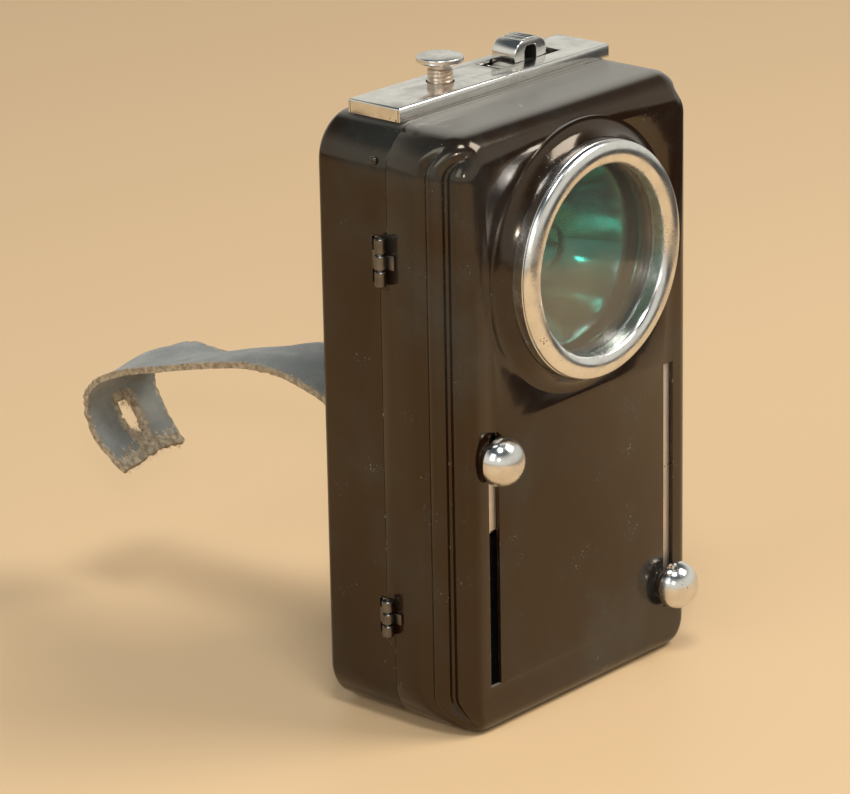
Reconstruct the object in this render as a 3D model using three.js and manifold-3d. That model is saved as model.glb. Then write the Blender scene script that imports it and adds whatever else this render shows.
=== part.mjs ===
// Pocket signal torch for a flat battery: a sheet-metal tray with a hinged front cover, two
// coloured filters on slides, a push button and a slide switch.
// Millimetres. +X right, +Y to the rear, +Z up. The origin is the middle of the flat base.
import * as THREE from "three";
import { mergeVertices } from "three/addons/utils/BufferGeometryUtils.js";
import Module from "manifold-3d";

const wasm = await Module();
wasm.setup();

// ---------- Driving dimensions ----------

// Case
const caseWidth = 70;
const caseHeight = 115.2;
const coverDepth = 16.6;
const trayDepth = 17.1;
const caseWall = 0.7;
const caseCornerRadius = 8.5;
const trayEdgeRadius = 1.5;
const coverTopRadius = 6;
const coverBottomRadius = 3;
const seamGap = 0.1;
const seamTongue = 1.8;

// Fluted front corners of the cover: the step and two beads, from the side wall inwards
const fluteWidth = 6.2;
const stepDepth = 9.8;
const outerBeadRadius = 2.0;
const outerBeadDepth = 7.0;
const innerBeadRadius = 3.25;

// Lens
const lensBelowTop = 28.6;
const lensClearRadius = 18.0;
const lensRingWidth = 4.4;
const lensRingFront = 6.1;
const collarFlare = 3.4;
const collarRise = 2.0;
const glassThickness = 1.5;
const glassRecess = 3.0;
const beadDepth = 1.6;
const retainerWire = 1.0;

// Filters and their slides
const slotInsideFlute = 3.1;
const slotWidth = 2.87;
const slotBelowKnobs = 4.7;
const slotAboveKnobs = 5.0;
const knobRadius = 4.7;
const knobHalfLength = 4.2;
const knobMiddle = 1.9;
const knobStemRadius = 1.1;
const washerRadius = 2.7;
const washerThickness = 0.5;
const knobToFilter = 32.7;
const filterRadius = 18.6;
const carrierSheet = 0.6;
const greenCarrierTail = 14.7;
const redCarrierTail = 12.3;
const redFilterDrop = 39.9;
const carrierAboveFilter = 0.8;
const carrierFarEdge = 20.5;
const layerPitch = 1.8;

// Switch plate, push button and slide switch
const plateLength = 59.6;
const plateWidth = 12.4;
const plateFlange = 2.7;
const plateSheet = 0.6;
const plateBehindSeam = 1.0;
const buttonX = -10.6;
const switchesBehindMiddle = 0.85;
const buttonHeadRadius = 4.4;
const buttonHeadThickness = 1.3;
const buttonStemRadius = 2.4;
const buttonRise = 5.0;
const buttonTravel = 1.6;
const buttonShaftRadius = 1.1;
const buttonCollarRadius = 2.6;
const buttonCollarThickness = 0.8;
const railBelowRoof = 8.3;
const windowCentreX = 11.6;
const windowLength = 18.4;
const sliderX = 11.9;
const sliderWidth = 9.1;
const sliderDepth = 5.7;
const sliderRise = 3.9;
const sliderSheet = 0.8;

// Battery, lamp and reflector
const batteryWidth = 62;
const batteryThickness = 22;
const batteryHeight = 67;
const batteryEndRadius = 9;
const batteryEdgeRadius = 1.2;
const bulbBaseRadius = 4.6;
const bulbBaseLength = 11;
const bulbGlassRadius = 5.4;
const reflectorRadius = 18.4;
const reflectorDepth = 12.6;
const reflectorSheet = 0.6;
const boardThickness = 1.4;
const stripSheet = 0.4;
const stripWidth = 6;
const stripInset = 15;

// Hinge
const hingeBarrelRadius = 1.1;
const hingePinRadius = 0.55;
const hingeLeafSheet = 0.35;
const hingeLeafReach = 2.6;
const upperHingeHeight = 90.7;
const lowerHingeHeight = 21.6;
const upperHingeLength = 9.1;
const lowerHingeLength = 7.1;

// Strap and its fixing
const strapWidth = 19;
const strapThickness = 1.6;
const strapX = -16;
const strapTop = 79;
const buttonholeLength = 8;
const buttonholeWidth = 3.6;
const strapPlateHeight = 7;
const strapPlateSheet = 0.8;
const strapRivetRadius = 0.9;
const strapRivetSpread = 6;

// Clearances
const seatGap = 0.06;
const fitGap = 0.3;
const slideGap = 0.25;

// ---------- Sizes that follow from them ----------

const caseDepth = coverDepth + trayDepth;
const frontY = -caseDepth / 2;
const rearY = caseDepth / 2;
const seamY = frontY + coverDepth;
const trayInnerRear = rearY - caseWall;
const coverInnerFront = frontY + caseWall;
const halfWidth = caseWidth / 2;
const halfInner = halfWidth - caseWall;
const innerTop = caseHeight - caseWall;
const flatHalf = halfWidth - fluteWidth;
const slotOffset = flatHalf - slotInsideFlute;
const lensZ = caseHeight - lensBelowTop;
const greenKnobZ = lensZ - knobToFilter;
const redKnobZ = greenKnobZ - redFilterDrop;
const slotTop = greenKnobZ + slotAboveKnobs;
const slotBottom = redKnobZ - slotBelowKnobs;
const lensRingRadius = lensClearRadius + lensRingWidth;
const spigotRadius = lensRingRadius - 1.8;
const collarRadius = lensRingRadius + collarFlare;
const greenLayerY = coverInnerFront + 0.5;
const redLayerY = greenLayerY + layerPitch;
const backPlateY = redLayerY + layerPitch;
const plateTop = caseHeight + plateFlange;
const plateFront = seamY + plateBehindSeam;
const buttonY = plateFront + plateWidth / 2 + switchesBehindMiddle;
const boardY = backPlateY + carrierSheet + 0.6 + reflectorDepth;
const batteryRear = trayInnerRear - fitGap;
const batteryFront = batteryRear - batteryThickness;
const innerCorner = caseCornerRadius - caseWall;
const batteryOverCorner = Math.max(batteryWidth / 2 - halfWidth + caseCornerRadius, 0);
const cornerLift = caseCornerRadius - Math.sqrt(innerCorner ** 2 - batteryOverCorner ** 2);
const trayEdgeInner = trayEdgeRadius - caseWall;
const edgeSlack = trayEdgeInner - batteryEdgeRadius;
const edgeDrop = Math.sqrt(Math.max(edgeSlack ** 2 - (edgeSlack - fitGap) ** 2, 0));
const edgeLift = trayEdgeRadius - edgeDrop - batteryEdgeRadius;
const batteryBottom = Math.max(cornerLift, edgeLift) + fitGap;
const batteryTop = batteryBottom + batteryHeight;
const boardRear = boardY + boardThickness;
const boardBottom = batteryTop + 1.2;
const stripY = Math.max((batteryFront + batteryRear) / 2, boardRear + stripSheet + fitGap);
const hingeX = -halfWidth - hingeBarrelRadius - seatGap;
const hingeY = seamY + 0.75;
const carrierEdge = flatHalf - 0.8;
const socketRadius = bulbBaseRadius + 0.55;
const railTop = innerTop - railBelowRoof;
const shaftBottom = railTop - 2;
const collarBottom = innerTop - slideGap - buttonCollarThickness;
const strapRivetZ = strapTop - 1 - strapPlateHeight / 2;

// ---------- Geometry helpers ----------

// A closed geometry as a solid, turned the right way out.
function solid(geometry) {
  const bare = geometry.clone();
  bare.deleteAttribute("normal");
  bare.deleteAttribute("uv");
  const merged = mergeVertices(bare, 1e-4);
  const triVerts = new Uint32Array(merged.index.array);
  const build = () =>
    new wasm.Manifold(
      new wasm.Mesh({ numProp: 3, vertProperties: merged.attributes.position.array, triVerts }),
    );
  const made = build();
  if (made.volume() > 0) return made;
  triVerts.reverse();
  return build();
}

// A solid back as a geometry.
function geometryOf(body) {
  const mesh = body.getMesh();
  const geometry = new THREE.BufferGeometry();
  geometry.setAttribute("position", new THREE.BufferAttribute(mesh.vertProperties, 3));
  geometry.setIndex(new THREE.BufferAttribute(mesh.triVerts, 1));
  const faceted = geometry.toNonIndexed();
  faceted.computeVertexNormals();
  return faceted;
}

const join = (...bodies) => bodies.reduce((a, b) => a.add(b));
const cut = (body, ...tools) => tools.reduce((a, b) => a.subtract(b), body);
const common = (...bodies) => bodies.reduce((a, b) => a.intersect(b));

// A box between two corners.
function block([x0, x1], [y0, y1], [z0, z1]) {
  const box = new THREE.BoxGeometry(x1 - x0, y1 - y0, z1 - z0);
  box.translate((x0 + x1) / 2, (y0 + y1) / 2, (z0 + z1) / 2);
  return solid(box);
}

// A shape drawn in X and Z, extruded from y0 to y1.
function slabAlongY(shape, y0, y1, curveSegments = 8) {
  const slab = new THREE.ExtrudeGeometry(shape, { depth: y1 - y0, bevelEnabled: false, curveSegments });
  slab.rotateX(Math.PI / 2);
  slab.translate(0, y1, 0);
  return solid(slab);
}

// A shape drawn in Y and Z, extruded from x0 to x1.
function slabAlongX(shape, x0, x1, curveSegments = 8) {
  const slab = new THREE.ExtrudeGeometry(shape, { depth: x1 - x0, bevelEnabled: false, curveSegments });
  slab.rotateX(Math.PI / 2);
  slab.rotateZ(Math.PI / 2);
  slab.translate(x0, 0, 0);
  return solid(slab);
}

// A shape drawn in X and Y, extruded from z0 to z1.
function slabAlongZ(shape, z0, z1, curveSegments = 8) {
  const slab = new THREE.ExtrudeGeometry(shape, { depth: z1 - z0, bevelEnabled: false, curveSegments });
  slab.translate(0, 0, z0);
  return solid(slab);
}

// A profile of [radius, distance] pairs turned about the Y direction through (x, z).
function turnedAboutY(profile, x, z, segments = 40) {
  const points = profile.map(([radius, y]) => new THREE.Vector2(radius, y));
  const lathe = new THREE.LatheGeometry(points, segments);
  lathe.translate(x, 0, z);
  return solid(lathe);
}

// A profile of [radius, height] pairs turned about the Z direction through (x, y).
function turnedAboutZ(profile, x, y, segments = 28) {
  const points = profile.map(([radius, z]) => new THREE.Vector2(radius, z));
  const lathe = new THREE.LatheGeometry(points, segments);
  lathe.rotateX(Math.PI / 2);
  lathe.translate(x, y, 0);
  return solid(lathe);
}

// A plain round bar along Y or Z.
function barAlongY(radius, x, z, y0, y1, segments = 20) {
  return turnedAboutY([[0, y0], [radius, y0], [radius, y1], [0, y1]], x, z, segments);
}
function barAlongZ(radius, x, y, z0, z1, segments = 20) {
  return turnedAboutZ([[0, z0], [radius, z0], [radius, z1], [0, z1]], x, y, segments);
}

// A rectangle with round corners, between two corners.
function roundedRectangle(x0, x1, z0, z1, radius) {
  const shape = new THREE.Shape();
  shape.moveTo(x0 + radius, z0);
  shape.lineTo(x1 - radius, z0);
  shape.absarc(x1 - radius, z0 + radius, radius, -Math.PI / 2, 0);
  shape.lineTo(x1, z1 - radius);
  shape.absarc(x1 - radius, z1 - radius, radius, 0, Math.PI / 2);
  shape.lineTo(x0 + radius, z1);
  shape.absarc(x0 + radius, z1 - radius, radius, Math.PI / 2, Math.PI);
  shape.lineTo(x0, z0 + radius);
  shape.absarc(x0 + radius, z0 + radius, radius, Math.PI, 1.5 * Math.PI);
  return shape;
}

// The case's outline as seen from the front, moved in by an inset.
function caseOutline(inset) {
  return roundedRectangle(
    -halfWidth + inset,
    halfWidth - inset,
    inset,
    caseHeight - inset,
    caseCornerRadius - inset,
  );
}

// Points of an arc in X and Y, from one angle to another in degrees.
function arcPoints(x, y, radius, from, to, steps) {
  return Array.from({ length: steps + 1 }, (_, i) => {
    const angle = THREE.MathUtils.degToRad(from + ((to - from) * i) / steps);
    return new THREE.Vector2(x + radius * Math.cos(angle), y + radius * Math.sin(angle));
  });
}

// ---------- The scene ----------

const finishes = {
  lacquer: { color: 0x15100d, roughness: 0.15, metalness: 0.1 },
  chrome: { color: 0xd2d3d2, roughness: 0.15, metalness: 1 },
  brass: { color: 0xb08d4a, roughness: 0.35, metalness: 1 },
  steel: { color: 0x8d9093, roughness: 0.4, metalness: 1 },
  silvered: { color: 0xe6e8ea, roughness: 0.08, metalness: 1 },
  fibre: { color: 0x7b4a2c, roughness: 0.8, metalness: 0 },
  clearGlass: { color: 0xdfe8e4, roughness: 0.05, metalness: 0 },
  greenGel: { color: 0x0d6b4a, roughness: 0.3, metalness: 0 },
  redGel: { color: 0x9c1a12, roughness: 0.3, metalness: 0 },
  card: { color: 0x3f5a86, roughness: 0.7, metalness: 0 },
  leathercloth: { color: 0x5e6462, roughness: 0.85, metalness: 0 },
};

const torch = new THREE.Group();
const caseGroup = new THREE.Group();
const coverGroup = new THREE.Group();
torch.add(caseGroup, coverGroup);

// Adds one named mesh to a group.
function addPart(group, name, body, finish) {
  const mesh = new THREE.Mesh(geometryOf(body), new THREE.MeshStandardMaterial(finishes[finish]));
  mesh.name = name;
  group.add(mesh);
}

// ---------- Tray ----------

// A drawn tray of the case's outline, open at the seam and rounded at the rear.
function trayBlock(inset, y0, y1) {
  const edge = trayEdgeRadius - inset;
  const slab = new THREE.ExtrudeGeometry(caseOutline(inset + edge), {
    depth: 40,
    bevelThickness: edge,
    bevelSize: edge,
    bevelSegments: 3,
    curveSegments: 5,
  });
  slab.rotateX(Math.PI / 2);
  slab.translate(0, y1 - edge, 0);
  const span = [-caseWidth, caseWidth];
  return common(solid(slab), block(span, [y0, y1 + 1], [-1, caseHeight + 1]));
}

function addTray() {
  const shaftHole = barAlongZ(buttonShaftRadius + slideGap, buttonX, buttonY, innerTop - 1, caseHeight + 1);
  const contactWindow = block(
    [windowCentreX - windowLength / 2, windowCentreX + windowLength / 2],
    [buttonY - 2.2, buttonY + 2.2],
    [innerTop - 1, caseHeight + 1],
  );
  const tray = cut(
    trayBlock(0, seamY + seamGap / 2, rearY),
    trayBlock(caseWall, seamY - 1, trayInnerRear),
    shaftHole,
    contactWindow,
    seamTongueBlock(seamGap),
    ...strapRivetHoles(rearY - 2, rearY + 1),
  );
  addPart(caseGroup, "rear_case", tray, "lacquer");
}

// The strip of the cover's left wall that reaches back into the tray's rim between the hinges.
function seamTongueBlock(gap) {
  return block(
    [-halfWidth - gap, -halfInner + gap],
    [seamY - 1, seamY + seamTongue + gap / 2],
    [
      lowerHingeHeight + lowerHingeLength / 2 + 1 - gap,
      upperHingeHeight - upperHingeLength / 2 - 1 + gap,
    ],
  );
}

// Holes for the two strap rivets, between two places along Y.
function strapRivetHoles(y0, y1) {
  return [-1, 1].map((side) =>
    barAlongY(strapRivetRadius + slideGap, strapX + side * strapRivetSpread, strapRivetZ, y0, y1, 12),
  );
}

// ---------- Cover ----------

// The cover's section in X and Y: plain sides, then a step and two beads to the flat front.
// The inner section keeps clear of the grooves between the beads.
function coverSection(inset) {
  const inner = inset > 0;
  const outerBead = [halfWidth - outerBeadRadius - 0.6, frontY + outerBeadDepth];
  const innerBead = [flatHalf + 0.4, frontY + innerBeadRadius];
  const side = halfWidth - inset;
  const right = [
    new THREE.Vector2(side, seamY + 2),
    new THREE.Vector2(side, frontY + stepDepth + inset),
    new THREE.Vector2(side - 1.0, frontY + stepDepth - 1.2 + 0.4 * inset),
    ...arcPoints(...outerBead, outerBeadRadius - inset, inner ? 20 : 50, inner ? -110 : -112, 5),
    ...arcPoints(...innerBead, innerBeadRadius - inset, inner ? 46 : 37, -90, 7),
  ];
  const left = right.map((p) => new THREE.Vector2(-p.x, p.y)).reverse();
  return new THREE.Shape([...right, ...left]);
}

// The cover seen from the side: flat front, a soft top edge and a tighter bottom edge.
function coverSide(inset) {
  const shape = new THREE.Shape();
  const y0 = frontY + inset;
  const top = caseHeight - inset;
  const topRadius = coverTopRadius - inset;
  const bottomRadius = coverBottomRadius - inset;
  shape.moveTo(seamY + 2, inset);
  shape.lineTo(seamY + 2, top);
  shape.lineTo(y0 + topRadius, top);
  shape.absarc(y0 + topRadius, top - topRadius, topRadius, Math.PI / 2, Math.PI);
  shape.lineTo(y0, inset + bottomRadius);
  shape.absarc(y0 + bottomRadius, inset + bottomRadius, bottomRadius, Math.PI, 1.5 * Math.PI);
  return shape;
}

function coverBlock(inset, rear) {
  return common(
    slabAlongY(caseOutline(inset), frontY - 1, rear, 5),
    slabAlongZ(coverSection(inset), -1, caseHeight + 1),
    slabAlongX(coverSide(inset), -caseWidth, caseWidth, 5),
  );
}

function addCover() {
  const collarFront = frontY - collarRise;
  const spigotFront = frontY - lensRingFront + glassRecess;
  const collar = turnedAboutY(
    [
      [spigotRadius - caseWall, coverInnerFront - 0.1],
      [collarRadius, coverInnerFront - 0.1],
      [collarRadius, frontY],
      [collarRadius - 1.6, frontY - 0.5],
      [lensRingRadius + 0.5, frontY - 1.3],
      [lensRingRadius, collarFront],
      [spigotRadius, collarFront],
      [spigotRadius, spigotFront],
      [spigotRadius - caseWall, spigotFront],
      [spigotRadius - caseWall, coverInnerFront - 0.1],
    ],
    0,
    lensZ,
    36,
  );
  const lensHole = barAlongY(spigotRadius - caseWall / 2, 0, lensZ, frontY - 1, coverInnerFront + 1, 36);
  const slots = [-1, 1].map((side) =>
    block(
      [side * slotOffset - slotWidth / 2, side * slotOffset + slotWidth / 2],
      [frontY - 1, coverInnerFront + 1],
      [slotBottom, slotTop],
    ),
  );
  const shell = cut(
    coverBlock(0, seamY - seamGap / 2),
    coverBlock(caseWall, seamY + 1),
    lensHole,
    ...slots,
  );
  addPart(coverGroup, "front_cover", join(shell, collar, seamTongueBlock(0)), "lacquer");
}

function addLens() {
  const front = frontY - lensRingFront;
  const glassFront = front + glassRecess;
  const glassRear = glassFront + glassThickness;
  const rear = frontY - collarRise - seatGap;
  const bead = arcPoints(0, 0, 1, -180, 0, 7).map((p) => [
    lensRingRadius - (lensRingWidth / 2) * (1 - p.x),
    front + beadDepth * (1 + p.y),
  ]);
  const ring = turnedAboutY(
    [
      [lensClearRadius, glassFront - seatGap],
      ...bead,
      [lensRingRadius, rear],
      [spigotRadius + slideGap, rear],
      [spigotRadius + slideGap, glassFront - seatGap],
      [lensClearRadius, glassFront - seatGap],
    ],
    0,
    lensZ,
    36,
  );
  addPart(coverGroup, "lens_ring", ring, "chrome");
  const glassRadius = spigotRadius - caseWall - slideGap;
  const glass = barAlongY(glassRadius, 0, lensZ, glassFront, glassRear, 36);
  addPart(coverGroup, "lens_glass", glass, "clearGlass");
  const wireHalf = retainerWire / 2;
  const wire = arcPoints(glassRadius - wireHalf, glassRear + seatGap + wireHalf, wireHalf, 0, 360, 6);
  const retainer = turnedAboutY(wire.map((p) => [p.x, p.y]), 0, lensZ, 28);
  const opening = block([-3, 3], [glassRear - 1, glassRear + 3], [lensZ - 22, lensZ]);
  addPart(coverGroup, "lens_retainer", cut(retainer, opening), "steel");
}

// ---------- Filters ----------

// Upright rails that hold the edges of both carriers, one on each side of the cover.
function addFilterGuides() {
  const railInner = carrierEdge - 0.6;
  const railOuter = carrierEdge + 1.4;
  const zRange = [coverBottomRadius + 1, caseHeight - coverTopRadius - 1];
  const rear = backPlateY - seatGap;
  for (const side of [-1, 1]) {
    const across = (a, b) => (side > 0 ? [a, b] : [-b, -a]);
    const grooves = [greenLayerY, redLayerY].map((y) =>
      block(across(0, carrierEdge + slideGap), [y - slideGap, y + carrierSheet + slideGap], [-1, caseHeight]),
    );
    const bar = block(across(railInner, railOuter), [coverInnerFront + seatGap, rear], zRange);
    const rail = cut(bar, ...grooves);
    addPart(coverGroup, side < 0 ? "filter_guide_left" : "filter_guide_right", rail, "steel");
  }
  const plate = slabAlongY(
    roundedRectangle(-railOuter, railOuter, zRange[0], zRange[1], 2),
    backPlateY,
    backPlateY + carrierSheet,
    4,
  );
  const light = barAlongY(filterRadius - 0.4, 0, lensZ, backPlateY - 1, backPlateY + 2, 36);
  addPart(coverGroup, "filter_back_plate", cut(plate, light), "steel");
}

// One filter slide: the sheet carrier, its disc, the knob outside and the knob's washer.
function addFilter(name, side, layerY, knobZ, tail, gel) {
  const knobX = side * slotOffset;
  const filterZ = knobZ + knobToFilter;
  const [x0, x1] = side > 0 ? [-carrierFarEdge, carrierEdge] : [-carrierEdge, carrierFarEdge];
  const top = filterZ + filterRadius + carrierAboveFilter;
  const bottom = knobZ - tail;
  const windowRadius = filterRadius - 0.6;
  const sheet = slabAlongY(roundedRectangle(x0, x1, bottom, top, 1.2), layerY, layerY + carrierSheet, 4);
  const window = barAlongY(windowRadius, 0, filterZ, layerY - 1, layerY + 1, 36);
  const stemHole = barAlongY(knobStemRadius + seatGap, knobX, knobZ, layerY - 1, layerY + 1, 14);
  addPart(coverGroup, name + "_carrier", cut(sheet, window, stemHole), "chrome");
  const disc = barAlongY(windowRadius - seatGap, 0, filterZ, layerY + 0.1, layerY + carrierSheet - 0.1, 36);
  addPart(coverGroup, name + "_filter", disc, gel);
  const washerRear = frontY - 0.15;
  const washerFront = washerRear - washerThickness;
  const washer = cut(
    barAlongY(washerRadius, knobX, knobZ, washerFront, washerRear, 20),
    barAlongY(knobStemRadius + seatGap, knobX, knobZ, frontY - 3, frontY + 3, 14),
  );
  addPart(coverGroup, name + "_knob_washer", washer, "brass");
  const neckRear = washerFront - seatGap;
  const ball = arcPoints(0, 0, 1, -90, 4, 6).map((p) => [
    Math.max(p.x, 0) * knobRadius,
    frontY - knobMiddle + p.y * knobHalfLength,
  ]);
  ball[0][0] = 0;
  const knob = turnedAboutY(
    [
      ...ball,
      [3.0, neckRear - 0.7],
      [3.0, neckRear],
      [knobStemRadius, neckRear],
      [knobStemRadius, layerY + carrierSheet - 0.05],
      [0, layerY + carrierSheet - 0.05],
    ],
    knobX,
    knobZ,
    20,
  );
  addPart(coverGroup, name + "_knob", knob, "chrome");
}

// ---------- Switch plate, button and slide switch ----------

function addSwitchPlate() {
  const half = plateLength / 2;
  const x = [-half, half];
  const y = [plateFront, plateFront + plateWidth];
  const z = [caseHeight + seatGap, plateTop];
  const inside = block(
    [-half + plateSheet, half - plateSheet],
    [y[0] + plateSheet, y[1] - plateSheet],
    [caseHeight - 1, plateTop - plateSheet],
  );
  const stemHole = barAlongZ(buttonStemRadius + slideGap, buttonX, buttonY, plateTop - 3, plateTop + 1, 28);
  const window = block(
    [windowCentreX - windowLength / 2, windowCentreX + windowLength / 2],
    [buttonY - sliderDepth / 2 - slideGap, buttonY + sliderDepth / 2 + slideGap],
    [plateTop - 3, plateTop + 1],
  );
  addPart(caseGroup, "switch_plate", cut(block(x, y, z), inside, stemHole, window), "chrome");
}

function addButton() {
  const headTop = plateTop + buttonRise;
  const headBottom = headTop - buttonHeadThickness;
  const stemBottom = caseHeight + fitGap + buttonTravel;
  const button = turnedAboutZ(
    [
      [0, shaftBottom],
      [buttonShaftRadius, shaftBottom],
      [buttonShaftRadius, stemBottom],
      [buttonStemRadius, stemBottom],
      [buttonStemRadius, headBottom],
      [buttonHeadRadius - 0.2, headBottom],
      [buttonHeadRadius, headBottom + 0.25],
      [buttonHeadRadius, headTop - 0.45],
      [buttonHeadRadius - 0.5, headTop - 0.1],
      [0, headTop],
    ],
    buttonX,
    buttonY,
  );
  addPart(caseGroup, "push_button", button, "chrome");
  const collar = cut(
    barAlongZ(buttonCollarRadius, buttonX, buttonY, collarBottom, collarBottom + buttonCollarThickness),
    barAlongZ(buttonShaftRadius + seatGap, buttonX, buttonY, collarBottom - 1, collarBottom + 2),
  );
  addPart(caseGroup, "button_collar", collar, "steel");
}

// The coil that lifts the button, between the contact rail and the collar.
function addButtonSpring() {
  const wire = 0.22;
  const coilRadius = 1.8;
  const turns = 4;
  const z0 = railTop + seatGap + wire;
  const z1 = collarBottom - seatGap - wire;
  class Coil extends THREE.Curve {
    getPoint(t, target = new THREE.Vector3()) {
      const angle = 2 * Math.PI * turns * t;
      return target.set(
        buttonX + coilRadius * Math.cos(angle),
        buttonY + coilRadius * Math.sin(angle),
        z0 + (z1 - z0) * t,
      );
    }
  }
  const section = new THREE.Shape();
  section.absarc(0, 0, wire, 0, 2 * Math.PI);
  const coil = new THREE.ExtrudeGeometry(section, { extrudePath: new Coil(), steps: 40, curveSegments: 3 });
  addPart(caseGroup, "button_spring", solid(coil), "steel");
}

// The ribbed thumb piece: an arched sheet on a foot that runs under the plate.
function addSlideSwitch() {
  const half = sliderWidth / 2;
  const crown = plateTop + sliderRise;
  const shoulder = plateTop + 1.6;
  const footTop = plateTop - plateSheet - fitGap;
  const footBottom = footTop - 0.6;
  const arch = (w, top) => {
    const shape = new THREE.Shape();
    shape.moveTo(-w, footBottom);
    shape.lineTo(w, footBottom);
    shape.lineTo(w, shoulder);
    shape.absellipse(0, shoulder, w, top - shoulder, 0, Math.PI);
    return shape;
  };
  const y = [buttonY - sliderDepth / 2, buttonY + sliderDepth / 2];
  const hollow = slabAlongY(arch(half - sliderSheet, crown - sliderSheet), y[0] - 1, y[1] + 1);
  const ribs = [-2, -1, 0, 1, 2].map((i) => {
    const angle = THREE.MathUtils.degToRad(90 + i * 17);
    const x = half * Math.cos(angle);
    const z = shoulder + (crown - shoulder) * Math.sin(angle);
    return barAlongY(0.35, x, z, y[0] + 0.3, y[1] - 0.3, 8);
  });
  const foot = block([-half - 1.5, half + 1.5], [y[0] - 0.6, y[1] + 0.6], [footBottom, footTop]);
  const opening = block(
    [-half + sliderSheet, half - sliderSheet],
    [buttonY - 1.6, buttonY + 1.6],
    [footBottom - 1, footTop + 1],
  );
  const thumb = cut(join(slabAlongY(arch(half, crown), y[0], y[1]), ...ribs), hollow);
  const piece = join(thumb, cut(foot, opening));
  addPart(caseGroup, "switch_slider", piece.translate([sliderX, 0, 0]), "chrome");
  const tongueY = [buttonY - 1.5, buttonY + 1.5];
  const tongueTop = footBottom - seatGap;
  const tongue = join(
    block([-half - 1, half + 1], tongueY, [tongueTop - 0.4, tongueTop]),
    block([-1.5, 1.5], tongueY, [railTop + slideGap, tongueTop - 0.2]),
  );
  addPart(caseGroup, "slider_contact", tongue.translate([sliderX, 0, 0]), "brass");
}

// ---------- Lamp, reflector and contacts ----------

function addLampBoard() {
  const edge = halfInner - fitGap;
  const outline = slabAlongY(caseOutline(caseWall + fitGap), boardY, boardY + boardThickness, 6);
  const board = common(outline, block([-edge, edge], [boardY - 1, boardY + 3], [boardBottom, caseHeight]));
  const socketHole = barAlongY(socketRadius + seatGap, 0, lensZ, boardY - 1, boardY + 3, 28);
  addPart(caseGroup, "lamp_board", cut(board, socketHole), "fibre");
  const socket = turnedAboutY(
    [
      [bulbBaseRadius + 0.15, boardY + 0.1],
      [socketRadius, boardY + 0.1],
      [socketRadius, boardY + boardThickness + seatGap],
      [socketRadius + 0.9, boardY + boardThickness + seatGap],
      [socketRadius + 0.9, boardY + boardThickness + 0.7],
      [socketRadius, boardY + boardThickness + 0.7],
      [socketRadius, boardY + bulbBaseLength - 2.5],
      [bulbBaseRadius + 0.15, boardY + bulbBaseLength - 2.5],
      [bulbBaseRadius + 0.15, boardY + 0.1],
    ],
    0,
    lensZ,
    28,
  );
  addPart(caseGroup, "bulb_socket", socket, "brass");
}

function addBulb() {
  const baseFront = boardY - 1.5;
  const baseRear = baseFront + bulbBaseLength;
  const base = turnedAboutY(
    [
      [0, baseFront],
      [bulbBaseRadius, baseFront],
      [bulbBaseRadius, baseRear - 2.2],
      [1.6, baseRear - 0.8],
      [1.5, baseRear],
      [0, baseRear],
    ],
    0,
    lensZ,
    24,
  );
  addPart(caseGroup, "bulb_base", base, "brass");
  const centre = baseFront - seatGap - 5.2;
  const globe = arcPoints(0, centre, bulbGlassRadius, -90, 50, 7).map((p) => [Math.max(p.x, 0), p.y]);
  globe[0][0] = 0;
  const glass = turnedAboutY(
    [...globe, [bulbBaseRadius - 0.6, baseFront - seatGap], [0, baseFront - seatGap]],
    0,
    lensZ,
    18,
  );
  addPart(caseGroup, "bulb_glass", glass, "clearGlass");
}

// A pressed parabolic dish round the bulb.
function addReflector() {
  const rear = boardY - seatGap;
  const front = rear - reflectorDepth;
  const throat = bulbGlassRadius + 0.6;
  const steps = 5;
  const inner = Array.from({ length: steps + 1 }, (_, i) => {
    const radius = throat + ((reflectorRadius - throat) * i) / steps;
    const share = (radius ** 2 - throat ** 2) / (reflectorRadius ** 2 - throat ** 2);
    return [radius, rear - (reflectorDepth - 0.6) * share];
  });
  const outer = inner.map(([radius, y]) => [radius + reflectorSheet, Math.min(y, rear)]).reverse();
  const dish = turnedAboutY(
    [
      ...inner,
      [reflectorRadius, front],
      [reflectorRadius + 1.2, front],
      [reflectorRadius + 1.2, front + 0.6],
      ...outer,
      inner[0],
    ],
    0,
    lensZ,
    30,
  );
  addPart(caseGroup, "reflector", dish, "silvered");
}

// The brass rail that both switches close on, and the leaf from the bulb's tip to the button.
function addContacts() {
  const rail = join(
    block([buttonX - 5, sliderX + 9], [boardRear + seatGap, buttonY + 3], [railTop - 0.5, railTop]),
    block(
      [buttonX + 6, sliderX - 6],
      [boardRear + seatGap, boardRear + 0.5 + seatGap],
      [railTop - 4, railTop - 0.2],
    ),
  );
  const shaftHole = barAlongZ(buttonShaftRadius + slideGap, buttonX, buttonY, railTop - 2, railTop + 1, 16);
  addPart(caseGroup, "contact_rail", cut(rail, shaftHole), "brass");
  const leafZ = shaftBottom - buttonTravel - 0.6;
  const tipRear = boardY - 1.5 + bulbBaseLength + seatGap;
  const leaf = join(
    block([-2.5, 2.4], [tipRear, tipRear + 0.5], [lensZ - 4, leafZ - 0.2]),
    block([buttonX - 2.5, 2.5], [buttonY - 2.5, tipRear + 0.5], [leafZ - 0.5, leafZ]),
  );
  addPart(caseGroup, "bulb_contact_leaf", leaf, "brass");
  for (const side of [-1, 1]) {
    const rivet = turnedAboutY(
      [
        [0, boardRear + 0.5 + 2 * seatGap],
        [1.3, boardRear + 0.5 + 2 * seatGap],
        [1.0, boardRear + 1.1],
        [0, boardRear + 1.3],
      ],
      (buttonX + sliderX) / 2 + side * 2.6,
      railTop - 2.4,
      12,
    );
    addPart(caseGroup, side < 0 ? "rail_rivet_left" : "rail_rivet_right", rivet, "brass");
  }
}

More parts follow.
